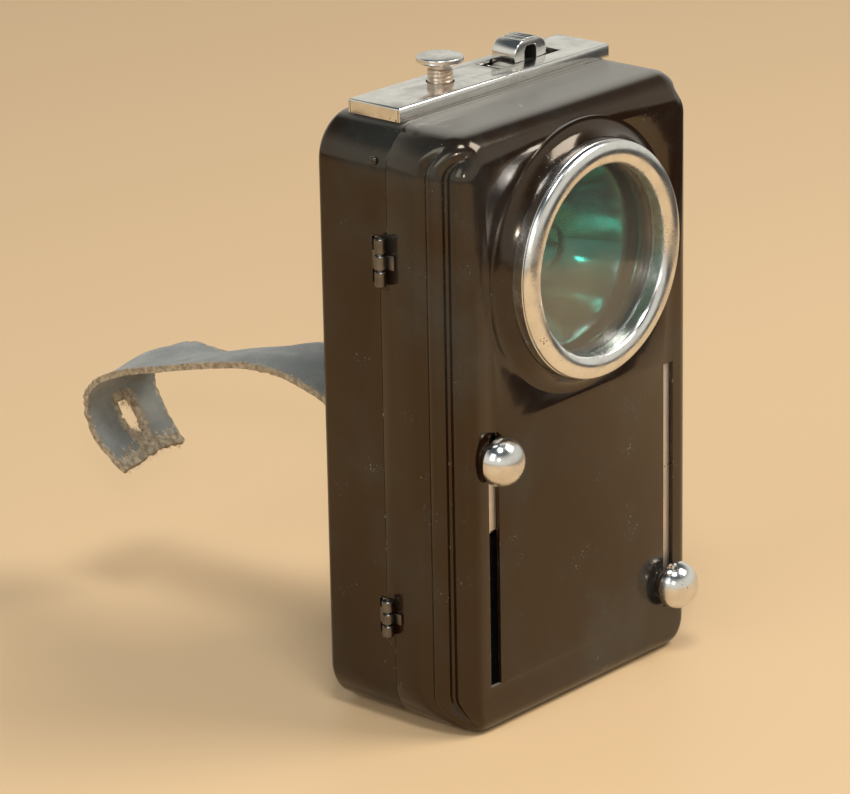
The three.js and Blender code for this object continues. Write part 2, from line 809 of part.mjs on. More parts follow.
function addBattery() {
  const x = [-batteryWidth / 2, batteryWidth / 2];
  const edge = batteryEdgeRadius;
  const shape = roundedRectangle(
    x[0] + edge,
    x[1] - edge,
    batteryFront + edge,
    batteryRear - edge,
    batteryEndRadius - edge,
  );
  const pack = new THREE.ExtrudeGeometry(shape, {
    depth: batteryHeight - 2 * edge,
    bevelThickness: edge,
    bevelSize: edge,
    bevelSegments: 2,
    curveSegments: 6,
  });
  pack.translate(0, 0, batteryBottom + edge);
  addPart(caseGroup, "battery_case", solid(pack), "card");
  const half = stripSheet / 2;
  const across = (side) => [side * stripInset - stripWidth / 2, side * stripInset + stripWidth / 2];
  const foot = batteryTop + seatGap;
  const bendRear = batteryRear - 1.5;
  const upright = [stripY - half, stripY + half];
  const short = join(
    block(across(1), upright, [foot, foot + 6]),
    block(across(1), [stripY - half, bendRear], [foot + 6 - stripSheet, foot + 6]),
  );
  addPart(caseGroup, "battery_short_strip", short, "brass");
  const long = join(
    block(across(-1), upright, [foot, foot + 2.4]),
    block(across(-1), [stripY - half, bendRear], [foot + 2.4 - stripSheet, foot + 2.4]),
    block(across(-1), [bendRear - stripSheet, bendRear], [foot + 2.4 - stripSheet, foot + 24]),
  );
  addPart(caseGroup, "battery_long_strip", long, "brass");
}

// ---------- Hinges ----------

// A barrel along Z with a leaf that runs along the side wall, in direction towards.
function hingeLeaf(barrelSpans, leafSpan, towards) {
  const wallX = -halfWidth - seatGap;
  const bore = barAlongZ(hingePinRadius + 0.1, hingeX, hingeY, leafSpan[0] - 1, leafSpan[1] + 1, 14);
  const barrels = barrelSpans.map(([z0, z1]) => barAlongZ(hingeBarrelRadius, hingeX, hingeY, z0, z1, 16));
  const reach = hingeY + towards * hingeLeafReach;
  const y = towards > 0 ? [hingeY, reach] : [reach, hingeY];
  const strips = barrelSpans.map(([z0, z1]) => block([wallX - hingeLeafSheet, wallX], y, [z0, z1]));
  return cut(join(...barrels, ...strips), bore);
}

function addHinge(name, middle, length) {
  const third = length / 3;
  const gap = 0.15;
  const bottom = middle - length / 2;
  const top = middle + length / 2;
  const outer = [
    [bottom, bottom + third - gap],
    [top - third + gap, top],
  ];
  const spine = block(
    [-halfWidth - seatGap - hingeLeafSheet, -halfWidth - seatGap],
    [hingeY + hingeBarrelRadius + 0.6, hingeY + hingeLeafReach],
    [bottom, top],
  );
  addPart(caseGroup, "hinge_tray_" + name, join(hingeLeaf(outer, [bottom, top], 1), spine), "lacquer");
  const inner = [[bottom + third + gap, top - third - gap]];
  addPart(coverGroup, "hinge_cover_" + name, hingeLeaf(inner, inner[0], -1), "lacquer");
  const pin = barAlongZ(hingePinRadius, hingeX, hingeY, bottom + 0.2, top - 0.2, 12);
  addPart(caseGroup, "hinge_pin_" + name, pin, "steel");
}

// ---------- Catch and side rivets ----------

// A spring strip in the tray's right side that reaches under the cover's rim and holds it shut.
function addCatch() {
  const x = halfInner - 0.35;
  const z = caseHeight * 0.45;
  const strip = block([x - 0.5, x], [seamY - 3.5, seamY + 9], [z - 4, z + 4]);
  addPart(caseGroup, "catch_spring", strip, "steel");
}

function addSideRivets() {
  for (const side of [-1, 1]) {
    const rivet = new THREE.LatheGeometry(
      [
        [0, 0],
        [0.8, 0],
        [0.6, 0.35],
        [0, 0.5],
      ].map(([r, h]) => new THREE.Vector2(r, h)),
      12,
    );
    rivet.rotateZ((-side * Math.PI) / 2);
    rivet.translate(side * (halfWidth + seatGap), seamY + 2.9, innerTop - 5.4);
    addPart(caseGroup, side < 0 ? "case_rivet_left" : "case_rivet_right", solid(rivet), "lacquer");
  }
}

// ---------- Strap ----------

// The strap's middle line behind the rear wall: distance from the wall, and drop below its top. It hangs from
// its plate, turns out from the wall, arches over and curls under at the buttonhole end.
const strapLine = [
  [1.0, 0],
  [1.0, 9],
  [1.1, 18],
  [2.3, 23.8],
  [5.2, 24.8],
  [9.0, 22.7],
  [17.8, 20.6],
  [25.5, 20.2],
  [33.0, 21.2],
  [42.5, 23.3],
  [53.5, 26.1],
  [63.0, 29],
  [70.4, 32.7],
  [73.2, 37.4],
  [70.6, 43.8],
  [63.6, 49.4],
];

function addStrap() {
  const line = new THREE.SplineCurve(strapLine.map(([out, drop]) => new THREE.Vector2(out, strapTop - drop)));
  const steps = 48;
  const side = (offset) =>
    Array.from({ length: steps + 1 }, (_, i) => {
      const point = line.getPoint(i / steps);
      const way = line.getTangent(i / steps);
      return new THREE.Vector2(point.x - way.y * offset, point.y + way.x * offset);
    });
  const outline = new THREE.Shape([...side(strapThickness / 2), ...side(-strapThickness / 2).reverse()]);
  const strip = slabAlongX(outline, strapX - strapWidth / 2, strapX + strapWidth / 2);
  const holePoint = line.getPoint(0.93);
  const holeWay = line.getTangent(0.93);
  const hole = new THREE.BoxGeometry(buttonholeWidth, buttonholeLength, 4 * strapThickness);
  hole.rotateX(Math.atan2(holeWay.y, holeWay.x));
  hole.translate(strapX, holePoint.x, holePoint.y);
  const strap = cut(strip, solid(hole)).translate([0, rearY, 0]);
  const outer = rearY + 1 + strapThickness / 2 + seatGap;
  addPart(caseGroup, "strap", cut(strap, ...strapRivetHoles(rearY, outer)), "leathercloth");
  const plateFace = roundedRectangle(
    strapX - strapWidth / 2,
    strapX + strapWidth / 2,
    strapRivetZ - strapPlateHeight / 2,
    strapRivetZ + strapPlateHeight / 2,
    1.5,
  );
  const plate = slabAlongY(plateFace, outer, outer + strapPlateSheet, 4);
  addPart(caseGroup, "strap_plate", cut(plate, ...strapRivetHoles(rearY, rearY + 5)), "steel");
  const headSeat = outer + strapPlateSheet + seatGap;
  for (const way of [-1, 1]) {
    const rivet = turnedAboutY(
      [
        [0, trayInnerRear - 0.6],
        [1.6, trayInnerRear - 0.5],
        [1.6, trayInnerRear - seatGap],
        [strapRivetRadius, trayInnerRear - seatGap],
        [strapRivetRadius, headSeat],
        [1.9, headSeat],
        [1.5, headSeat + 0.7],
        [0, headSeat + 0.9],
      ],
      strapX + way * strapRivetSpread,
      strapRivetZ,
      16,
    );
    addPart(caseGroup, way < 0 ? "strap_rivet_left" : "strap_rivet_right", rivet, "steel");
  }
}

// ---------- Assembly ----------

addTray();
addLampBoard();
addReflector();
addBulb();
addContacts();
addBattery();
addSwitchPlate();
addButton();
addButtonSpring();
addSlideSwitch();
addHinge("upper", upperHingeHeight, upperHingeLength);
addHinge("lower", lowerHingeHeight, lowerHingeLength);
addCatch();
addSideRivets();
addStrap();
addCover();
addLens();
addFilterGuides();
addFilter("green", -1, greenLayerY, greenKnobZ, greenCarrierTail, "greenGel");
addFilter("red", 1, redLayerY, redKnobZ, redCarrierTail, "redGel");

export default torch;
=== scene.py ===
"""Looks of a pocket signal torch with two coloured filters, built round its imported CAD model.

Every length is in metres unless its name says otherwise. +X is to the right of the lens as one faces
it, +Y runs to the rear and +Z up. Places come from the boxes of the CAD nodes.
"""

import functools
import logging
import math
from dataclasses import dataclass, field
from enum import Enum
from typing import Callable, Optional, Sequence

import bmesh
import bpy
from mathutils import Matrix, Vector, noise

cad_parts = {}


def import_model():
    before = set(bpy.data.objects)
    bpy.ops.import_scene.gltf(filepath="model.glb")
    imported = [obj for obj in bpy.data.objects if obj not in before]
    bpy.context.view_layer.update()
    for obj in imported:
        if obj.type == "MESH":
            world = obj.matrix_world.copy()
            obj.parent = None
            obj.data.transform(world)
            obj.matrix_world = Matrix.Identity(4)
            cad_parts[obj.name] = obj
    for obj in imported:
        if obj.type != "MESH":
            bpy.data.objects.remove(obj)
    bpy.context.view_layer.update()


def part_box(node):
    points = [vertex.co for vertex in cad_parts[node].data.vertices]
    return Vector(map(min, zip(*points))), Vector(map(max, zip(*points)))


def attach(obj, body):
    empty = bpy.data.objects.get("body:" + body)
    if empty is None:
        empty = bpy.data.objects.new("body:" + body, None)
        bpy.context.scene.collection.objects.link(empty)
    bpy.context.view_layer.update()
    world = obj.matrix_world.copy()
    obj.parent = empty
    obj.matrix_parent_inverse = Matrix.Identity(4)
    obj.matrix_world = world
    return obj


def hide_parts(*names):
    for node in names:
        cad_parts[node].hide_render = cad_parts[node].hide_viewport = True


log = logging.getLogger("torch")

MM = 0.001
Profile = list[tuple[float, float]]


# ---------------------------------------------------------------- Named options


class Axis(Enum):
    """Direction that a turned piece or an edge runs in."""

    X = (1.0, 0.0, 0.0)
    Y = (0.0, 1.0, 0.0)
    Z = (0.0, 0.0, 1.0)

    @property
    def way(self) -> Vector:
        """The direction as a vector."""
        return Vector(self.value)

    @property
    def circle_turn(self) -> tuple[float, float, float]:
        """Turn that lays a flat circle square to this direction."""
        return {"X": (0, math.pi / 2, 0), "Y": (math.pi / 2, 0, 0), "Z": (0, 0, 0)}[self.name]


class Side(Enum):
    """Left or right of the lens."""

    LEFT = -1
    RIGHT = 1


class Body(Enum):
    """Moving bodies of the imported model."""

    CASE = "case"
    COVER = "cover"
    GREEN = "green_slide"
    RED = "red_slide"
    BUTTON = "button"
    SLIDER = "slider"


# ---------------------------------------------------------------- Places read from the frame


@dataclass(frozen=True)
class Box:
    """A CAD node's box at rest."""

    low: Vector
    high: Vector

    @classmethod
    @functools.cache
    def of(cls, node: str) -> "Box":
        """The box of one CAD node."""
        low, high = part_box(node)
        return cls(low, high)

    @property
    def centre(self) -> Vector:
        """Middle of the box."""
        return (self.low + self.high) / 2

    @property
    def size(self) -> Vector:
        """Lengths of the box's sides."""
        return self.high - self.low


@dataclass(frozen=True)
class Datum:
    """Faces and centres that more than one sub-assembly lines up with."""

    half_width: float
    height: float
    front: float
    rear: float
    seam: float
    lens: Vector
    lens_radius: float

    @classmethod
    def read(cls) -> "Datum":
        """Reads the datum from the tray's and the lens ring's boxes."""
        tray = Box.of("rear_case")
        ring = Box.of("lens_ring")
        return cls(
            half_width=tray.high.x,
            height=tray.high.z,
            front=-tray.high.y,
            rear=tray.high.y,
            seam=tray.low.y,
            lens=ring.centre,
            lens_radius=ring.size.x / 2,
        )


# ---------------------------------------------------------------- Modelling by hand


def settle() -> None:
    """Leaves edit mode and deselects everything."""
    if bpy.context.object is not None and bpy.context.object.mode != "OBJECT":
        bpy.ops.object.mode_set(mode="OBJECT")
    bpy.ops.object.select_all(action="DESELECT")


def take(piece: bpy.types.Object) -> None:
    """Makes a piece the only selected one and the active one."""
    settle()
    piece.select_set(True)
    bpy.context.view_layer.objects.active = piece


def edit(piece: bpy.types.Object) -> None:
    """Opens a piece in edit mode with all of it deselected."""
    take(piece)
    bpy.ops.object.mode_set(mode="EDIT")
    bpy.ops.mesh.select_mode(type="VERT")
    bpy.ops.mesh.select_all(action="DESELECT")


def shut() -> None:
    """Returns to object mode."""
    bpy.ops.object.mode_set(mode="OBJECT")


def named(name: str) -> bpy.types.Object:
    """Names the primitive just added and puts its place into its mesh.

    Args:
        name: Name of the new piece.

    Returns:
        The piece, at the origin and unturned.
    """
    piece = bpy.context.object
    piece.name = name
    piece.data.name = name
    bpy.ops.object.transform_apply(location=True, rotation=True, scale=True)
    return piece


def pick_faces(piece: bpy.types.Object, test: Callable[[Vector, Vector], bool]) -> None:
    """Selects, in edit mode, the faces whose centre and normal pass a test.

    Args:
        piece: Piece that is open in edit mode.
        test: Takes a face's centre and normal.
    """
    bpy.ops.mesh.select_mode(type="FACE")
    mesh = bmesh.from_edit_mesh(piece.data)
    for face in mesh.faces:
        face.select_set(test(face.calc_center_median(), face.normal))
    bmesh.update_edit_mesh(piece.data)


def pick_edges(piece: bpy.types.Object, test: Callable[[Vector, Vector], bool]) -> None:
    """Selects, in edit mode, the edges whose two ends pass a test.

    Args:
        piece: Piece that is open in edit mode.
        test: Takes the places of an edge's two ends.
    """
    bpy.ops.mesh.select_mode(type="EDGE")
    mesh = bmesh.from_edit_mesh(piece.data)
    for edge in mesh.edges:
        edge.select_set(test(edge.verts[0].co, edge.verts[1].co))
    bmesh.update_edit_mesh(piece.data)


def change(piece: bpy.types.Object, kind: str, **settings: object) -> None:
    """Puts a modifier on a piece and applies it.

    Args:
        piece: Piece to change.
        kind: Modifier type.
        settings: Values of the modifier's settings.
    """
    take(piece)
    modifier = piece.modifiers.new(kind.title(), kind)
    for name, value in settings.items():
        setattr(modifier, name, value)
    bpy.ops.object.modifier_apply(modifier=modifier.name)


def cube(name: str, low: Sequence[float], high: Sequence[float]) -> bpy.types.Object:
    """A cube stretched between two corners, as the start of a piece."""
    settle()
    low, high = Vector(low), Vector(high)
    bpy.ops.mesh.primitive_cube_add(size=1, location=(low + high) / 2, scale=high - low)
    return named(name)


def along(way: Axis) -> Callable[[Vector, Vector], bool]:
    """A test for edges that run in one direction."""
    return lambda a, b: (b - a).length > 0 and abs((b - a).normalized().dot(way.way)) > 0.999


def round_edges(
    piece: bpy.types.Object, test: Callable[[Vector, Vector], bool], radius: float, segments: int
) -> None:
    """Bevels the edges that pass a test.

    Args:
        piece: Piece to shape.
        test: Takes the places of an edge's two ends.
        radius: Radius of the round.
        segments: Steps in the round.
    """
    edit(piece)
    pick_edges(piece, test)
    bpy.ops.mesh.bevel(offset=radius, segments=segments, affect="EDGES")
    shut()


def cut_out(piece: bpy.types.Object, tool: bpy.types.Object) -> None:
    """Cuts a tool's shape out of a piece and throws the tool away."""
    change(piece, "BOOLEAN", operation="DIFFERENCE", solver="EXACT", object=tool)
    bpy.data.objects.remove(tool)


def cut_box(piece: bpy.types.Object, low: Sequence[float], high: Sequence[float]) -> None:
    """Cuts a box between two corners out of a piece."""
    cut_out(piece, cube("box_cutter", low, high))


def join(name: str, pieces: Sequence[bpy.types.Object]) -> bpy.types.Object:
    """Joins pieces into the first one.

    Args:
        name: Name of the joined piece.
        pieces: The pieces, the kept one first.

    Returns:
        The joined piece.
    """
    take(pieces[0])
    for piece in pieces[1:]:
        piece.select_set(True)
    if len(pieces) > 1:
        bpy.ops.object.join()
    pieces[0].name = name
    pieces[0].data.name = name
    return pieces[0]


def orient(piece: bpy.types.Object) -> None:
    """Merges doubles and turns all faces outwards."""
    edit(piece)
    bpy.ops.mesh.select_all(action="SELECT")
    bpy.ops.mesh.remove_doubles(threshold=1e-6)
    bpy.ops.mesh.normals_make_consistent(inside=False)
    shut()


def smooth(piece: bpy.types.Object, degrees: float = 32) -> None:
    """Shades a piece smooth except at edges sharper than an angle."""
    take(piece)
    bpy.ops.object.shade_smooth_by_angle(angle=math.radians(degrees))


def soften(piece: bpy.types.Object, width: float, segments: int = 2, degrees: float = 40) -> None:
    """Bevels every edge sharper than an angle by a small width."""
    change(
        piece,
        "BEVEL",
        width=width,
        segments=segments,
        limit_method="ANGLE",
        angle_limit=math.radians(degrees),
        use_clamp_overlap=True,
    )


def arc(centre: tuple[float, float], radius: float, start: float, end: float, steps: int) -> Profile:
    """Points of an arc in a profile.

    Args:
        centre: Centre as (radius, distance) of the profile.
        radius: Radius of the arc.
        start: First angle in degrees, from the outward direction towards the axis's direction.
        end: Last angle in degrees.
        steps: Number of steps.

    Returns:
        The points, steps + 1 of them.
    """
    turns = [math.radians(start + (end - start) * i / steps) for i in range(steps + 1)]
    return [(centre[0] + radius * math.cos(t), centre[1] + radius * math.sin(t)) for t in turns]


def turned(
    name: str, profile: Profile, centre: Vector, axis: Axis = Axis.Y, segments: int = 72
) -> bpy.types.Object:
    """A piece turned from a circle: extruded and scaled along its axis, ring by ring.

    Args:
        name: Name of the piece.
        profile: (radius, distance along the axis) pairs. A radius of 0 closes an end, and a profile
            that ends where it starts makes a closed ring.
        centre: Point of the axis that distances are measured from.
        axis: Direction of the axis.
        segments: Sides of the circle.

    Returns:
        The piece.
    """
    rings = [ring for ring in profile if ring[0] > 0]
    settle()
    bpy.ops.mesh.primitive_circle_add(
        vertices=segments,
        radius=rings[0][0],
        location=centre + axis.way * rings[0][1],
        rotation=axis.circle_turn,
    )
    piece = named(name)
    edit(piece)
    bpy.ops.mesh.select_all(action="SELECT")
    for (radius, at), (next_radius, next_at) in zip(rings, rings[1:]):
        bpy.ops.mesh.extrude_region_move(TRANSFORM_OT_translate={"value": axis.way * (next_at - at)})
        share = next_radius / radius
        bpy.ops.transform.resize(value=(share,) * 3, center_override=centre + axis.way * next_at)
    for end, ring in ((profile[-1], rings[-1]), (profile[0], rings[0])):
        if end[0] > 0:
            continue
        bpy.ops.mesh.select_mode(type="VERT")
        mesh = bmesh.from_edit_mesh(piece.data)
        place = centre + axis.way * ring[1]
        for vertex in mesh.verts:
            offset = vertex.co - place
            apart = abs(offset.dot(axis.way))
            vertex.select_set(apart < 1e-7 and abs(offset.length - ring[0]) < 1e-6)
        mesh.select_flush(True)
        bmesh.update_edit_mesh(piece.data)
        bpy.ops.mesh.extrude_region_move(TRANSFORM_OT_translate={"value": axis.way * (end[1] - ring[1])})
        bpy.ops.mesh.merge(type="CENTER")
    shut()
    orient(piece)
    smooth(piece)
    return piece


def woven_grid(
    name: str, columns: int, rows: int, place: Callable[[float, float], Vector]
) -> bpy.types.Object:
    """A grid whose vertices are led to a surface.

    Args:
        name: Name of the piece.
        columns: Steps in the first direction.
        rows: Steps in the second direction.
        place: Takes two shares from 0 to 1 and gives the point of the surface.

    Returns:
        The piece.
    """
    settle()
    bpy.ops.mesh.primitive_grid_add(x_subdivisions=columns, y_subdivisions=rows, size=1)
    piece = named(name)
    for vertex in piece.data.vertices:
        vertex.co = place(vertex.co.x + 0.5, vertex.co.y + 0.5)
    return piece


def ease(value: float) -> float:
    """Smooth step from 0 to 1."""
    value = min(max(value, 0.0), 1.0)
    return value * value * (3 - 2 * value)


def spline(points: Sequence[tuple[float, float]], share: float) -> Vector:
    """Point of a Catmull-Rom curve through given points.

    Args:
        points: The points that the curve runs through.
        share: Place on the curve, from 0 to 1.

    Returns:
        The point, as a 2D vector.
    """
    reach = share * (len(points) - 1)
    index = min(int(reach), len(points) - 2)
    t = reach - index
    picks = [points[min(max(index + k, 0), len(points) - 1)] for k in (-1, 0, 1, 2)]
    a, b, c, d = (Vector(p) for p in picks)
    return 0.5 * (2 * b + (c - a) * t + (2 * a - 5 * b + 4 * c - d) * t**2 + (3 * b - a - 3 * c + d) * t**3)


# ---------------------------------------------------------------- Shader groups


class Wiring:
    """A node tree that is filled from left to right."""

    def __init__(self, tree: bpy.types.NodeTree) -> None:
        """Keeps the tree that nodes are added to."""
        self.tree = tree

    def node(self, kind: str, inputs: Optional[dict] = None, **settings: object) -> bpy.types.Node:
        """Adds a node.

        Args:
            kind: Node type without its ShaderNode prefix.
            inputs: Socket name or number to a value or to another node's output.
            settings: The node's own settings.

        Returns:
            The node.
        """
        made = self.tree.nodes.new("ShaderNode" + kind)
        for name, value in settings.items():
            setattr(made, name, value)
        for key, value in (inputs or {}).items():
            if isinstance(value, bpy.types.NodeSocket):
                self.tree.links.new(value, made.inputs[key])
            else:
                made.inputs[key].default_value = value
        return made

    def maths(self, operation: str, *values: object, clamp: bool = False) -> bpy.types.NodeSocket:
        """A Math node's result from numbers or outputs."""
        inputs = dict(enumerate(values))
        return self.node("Math", inputs, operation=operation, use_clamp=clamp).outputs[0]

    def ramp(self, value: bpy.types.NodeSocket, low: float, high: float) -> bpy.types.NodeSocket:
        """A value spread so that low becomes 0 and high becomes 1."""
        inputs = {"Value": value, "From Min": low, "From Max": high}
        return self.node("MapRange", inputs, interpolation_type="SMOOTHSTEP").outputs[0]

    def blend(self, share: object, first: object, second: object) -> bpy.types.NodeSocket:
        """A colour between two colours, by a share."""
        mix = self.node("Mix", {0: share, 6: first, 7: second}, data_type="RGBA")
        return mix.outputs[2]

    def pattern(self, group: bpy.types.NodeTree, **inputs: object) -> bpy.types.Node:
        """Adds a node group with its own input values."""
        made = self.tree.nodes.new("ShaderNodeGroup")
        made.node_tree = group
        for name, value in inputs.items():
            key = name.replace("_", " ").title()
            if isinstance(value, bpy.types.NodeSocket):
                self.tree.links.new(value, made.inputs[key])
            else:
                made.inputs[key].default_value = value
        return made


class Patterns:
    """Surface effects that several materials share, each a node group."""

    def __init__(self) -> None:
        """Builds every group once."""
        self.speckle = self._speckle()
        self.clouds = self._clouds()
        self.worn_edge = self._worn_edge()
        self.grain = self._grain()

    @staticmethod
    def _group(name: str, inputs: dict[str, float], outputs: dict[str, str]) -> tuple:
        """Starts a group.

        Args:
            name: Name of the group.
            inputs: Number inputs and their values.
            outputs: Output names and socket types.

        Returns:
            The group, its wiring, its input node and its output node.
        """
        group = bpy.data.node_groups.new(name, "ShaderNodeTree")
        for label, value in inputs.items():
            socket = group.interface.new_socket(label, in_out="INPUT", socket_type="NodeSocketFloat")
            socket.default_value = value
        for label, kind in outputs.items():
            group.interface.new_socket(label, in_out="OUTPUT", socket_type=kind)
        start = group.nodes.new("NodeGroupInput")
        end = group.nodes.new("NodeGroupOutput")
        return group, Wiring(group), start, end

    def _clouds(self) -> bpy.types.NodeTree:
        """Soft uneven patches, as of haze or tarnish."""
        group, wiring, start, end = self._group(
            "clouds", {"Scale": 60.0, "Low": 0.4, "High": 0.7}, {"Mask": "NodeSocketFloat"}
        )
        place = wiring.node("TexCoord").outputs["Object"]
        cloud = wiring.node(
            "TexNoise", {"Vector": place, "Scale": start.outputs["Scale"], "Detail": 5.0, "Roughness": 0.6}
        )
        spread = wiring.node(
            "MapRange",
            {0: cloud.outputs[0], 1: start.outputs["Low"], 2: start.outputs["High"]},
            interpolation_type="SMOOTHSTEP",
        )
        group.links.new(spread.outputs[0], end.inputs["Mask"])
        return group

    def _speckle(self) -> bpy.types.NodeTree:
        """Small separate spots, as of rust pits, dust or paint chips."""
        group, wiring, start, end = self._group(
            "speckle", {"Scale": 900.0, "Size": 0.25, "Patchiness": 0.5}, {"Mask": "NodeSocketFloat"}
        )
        place = wiring.node("TexCoord").outputs["Object"]
        bend = wiring.node("TexNoise", {"Vector": place, "Scale": 2400.0, "Detail": 2.0})
        shifted = wiring.node(
            "VectorMath", {0: bend.outputs["Color"], 1: (0.0006, 0.0006, 0.0006)}, operation="MULTIPLY"
        )
        spot_place = wiring.node("VectorMath", {0: place, 1: shifted.outputs[0]}, operation="ADD")
        cells = wiring.node("TexVoronoi", {"Vector": spot_place.outputs[0], "Scale": start.outputs["Scale"]})
        patch = wiring.node("TexNoise", {"Vector": place, "Scale": 150.0, "Detail": 3.0})
        amount = wiring.maths("SUBTRACT", patch.outputs[0], start.outputs["Patchiness"])
        reach = wiring.maths("MULTIPLY", wiring.maths("MULTIPLY", amount, 4.0), start.outputs["Size"])
        inside = wiring.maths("SUBTRACT", reach, cells.outputs["Distance"])
        mask = wiring.ramp(inside, 0.0, 0.06)
        group.links.new(mask, end.inputs["Mask"])
        return group

    def _worn_edge(self) -> bpy.types.NodeTree:
        """Rubbed edges: where the surface turns within a small radius, broken up by noise."""
        group, wiring, start, end = self._group(
            "worn_edge", {"Radius": 0.0004, "Amount": 0.5}, {"Mask": "NodeSocketFloat"}
        )
        rounded = wiring.node("Bevel", {"Radius": start.outputs["Radius"]}, samples=6)
        true_normal = wiring.node("NewGeometry").outputs["Normal"]
        match = wiring.node("VectorMath", {0: rounded.outputs[0], 1: true_normal}, operation="DOT_PRODUCT")
        turn = wiring.maths("SUBTRACT", 1.0, match.outputs["Value"])
        place = wiring.node("TexCoord").outputs["Object"]
        breaks = wiring.node("TexNoise", {"Vector": place, "Scale": 420.0, "Detail": 4.0, "Roughness": 0.7})
        wanted = wiring.maths("MULTIPLY", turn, 6.0, clamp=True)
        held = wiring.maths("ADD", wiring.maths("SUBTRACT", breaks.outputs[0], 1.0), start.outputs["Amount"])
        mask = wiring.ramp(wiring.maths("MULTIPLY", wanted, held), 0.02, 0.12)
        group.links.new(mask, end.inputs["Mask"])
        return group

    def _grain(self) -> bpy.types.NodeTree:
        """A fine uneven height, as of orange peel, pitting or pressed cloth."""
        group, wiring, start, end = self._group(
            "grain", {"Scale": 500.0, "Stretch": 1.0}, {"Height": "NodeSocketFloat"}
        )
        place = wiring.node("TexCoord").outputs["Object"]
        stretch = wiring.node("CombineXYZ", {0: 1.0, 1: 1.0, 2: start.outputs["Stretch"]})
        scaled = wiring.node("VectorMath", {0: place, 1: stretch.outputs[0]}, operation="MULTIPLY")
        cloud = wiring.node(
            "TexNoise", {"Vector": scaled.outputs[0], "Scale": start.outputs["Scale"], "Detail": 3.0}
        )
        group.links.new(cloud.outputs[0], end.inputs["Height"])
        return group


# ---------------------------------------------------------------- Finishes


def rgb(red: float, green: float, blue: float) -> tuple[float, float, float, float]:
    """A linear colour with full opacity."""
    return (red, green, blue, 1.0)


class Paint:
    """A material under construction: its wiring and its main shader."""

    def __init__(self, name: str) -> None:
        """Starts a material with an empty Principled shader."""
        self.material = bpy.data.materials.new(name)
        self.material.use_nodes = True
        tree = self.material.node_tree
        self.wiring = Wiring(tree)
        self.shader = tree.nodes["Principled BSDF"]

    def lay(self, socket: str, value: object) -> None:
        """Sets or links one socket of the main shader."""
        if isinstance(value, bpy.types.NodeSocket):
            self.wiring.tree.links.new(value, self.shader.inputs[socket])
        else:
            self.shader.inputs[socket].default_value = value

    def bump(self, height: bpy.types.NodeSocket, strength: float, distance: float) -> None:
        """Lays a height on the main shader as a bump.

        Args:
            height: Height over the surface.
            strength: How strongly the bump shows.
            distance: Depth of the bump.
        """
        inputs = {"Height": height, "Strength": strength, "Distance": distance}
        self.lay("Normal", self.wiring.node("Bump", inputs).outputs[0])


@dataclass(frozen=True)
class Lacquer:
    """Glossy brown-black stoving lacquer with haze, dust and rubbed edges, and upward faces lightened partly
    by dust and partly by painted reflection.
    """

    name: str = "case_lacquer"
    colour: tuple = rgb(0.013, 0.0048, 0.0012)
    haze_colour: tuple = rgb(0.022, 0.026, 0.025)
    specular_tint: tuple = rgb(1.0, 0.80, 0.58)
    chip_colour: tuple = rgb(0.42, 0.36, 0.28)
    # Colour of dust specks; also laid on upward faces, where it partly stands for a painted reflection.
    dust_colour: tuple = rgb(0.20, 0.19, 0.17)
    gloss: float = 0.13
    wear: float = 0.43

    def material(self, patterns: Patterns) -> bpy.types.Material:
        """Builds the material from the shared patterns."""
        paint = Paint(self.name)
        wiring = paint.wiring
        haze = wiring.pattern(patterns.clouds, scale=38.0, low=0.42, high=0.78).outputs[0]
        dust = wiring.pattern(patterns.speckle, scale=1500.0, size=0.20, patchiness=0.47).outputs[0]
        worn = wiring.pattern(patterns.worn_edge, radius=0.0005, amount=self.wear).outputs[0]
        upward = wiring.node("SeparateXYZ", {0: wiring.node("NewGeometry").outputs["Normal"]}).outputs[2]
        # Upward faces take the dust colour and more roughness: partly real settled dust, partly a painted
        # reflection that lightens the roof.
        roof_dust_and_sheen_mask = wiring.ramp(upward, 0.86, 0.99)
        hazy = wiring.blend(haze, self.colour, self.haze_colour)
        dusty = wiring.blend(dust, hazy, self.dust_colour)
        with_roof_dust_and_sheen = wiring.blend(wiring.maths("MULTIPLY", roof_dust_and_sheen_mask, 0.8), dusty, self.dust_colour)
        paint.lay("Base Color", wiring.blend(worn, with_roof_dust_and_sheen, self.chip_colour))
        rough = wiring.maths("MULTIPLY_ADD", haze, 0.10, self.gloss)
        rough = wiring.maths("MULTIPLY_ADD", roof_dust_and_sheen_mask, 0.25, rough)
        paint.lay("Roughness", wiring.maths("MULTIPLY_ADD", worn, 0.35, rough, clamp=True))
        paint.lay("Specular Tint", self.specular_tint)
        paint.lay("Coat Weight", 0.18)
        paint.lay("Coat Roughness", 0.05)
        peel = wiring.pattern(patterns.grain, scale=210.0, stretch=0.7).outputs[0]
        paint.bump(peel, 0.10, 0.0004)
        return paint.material


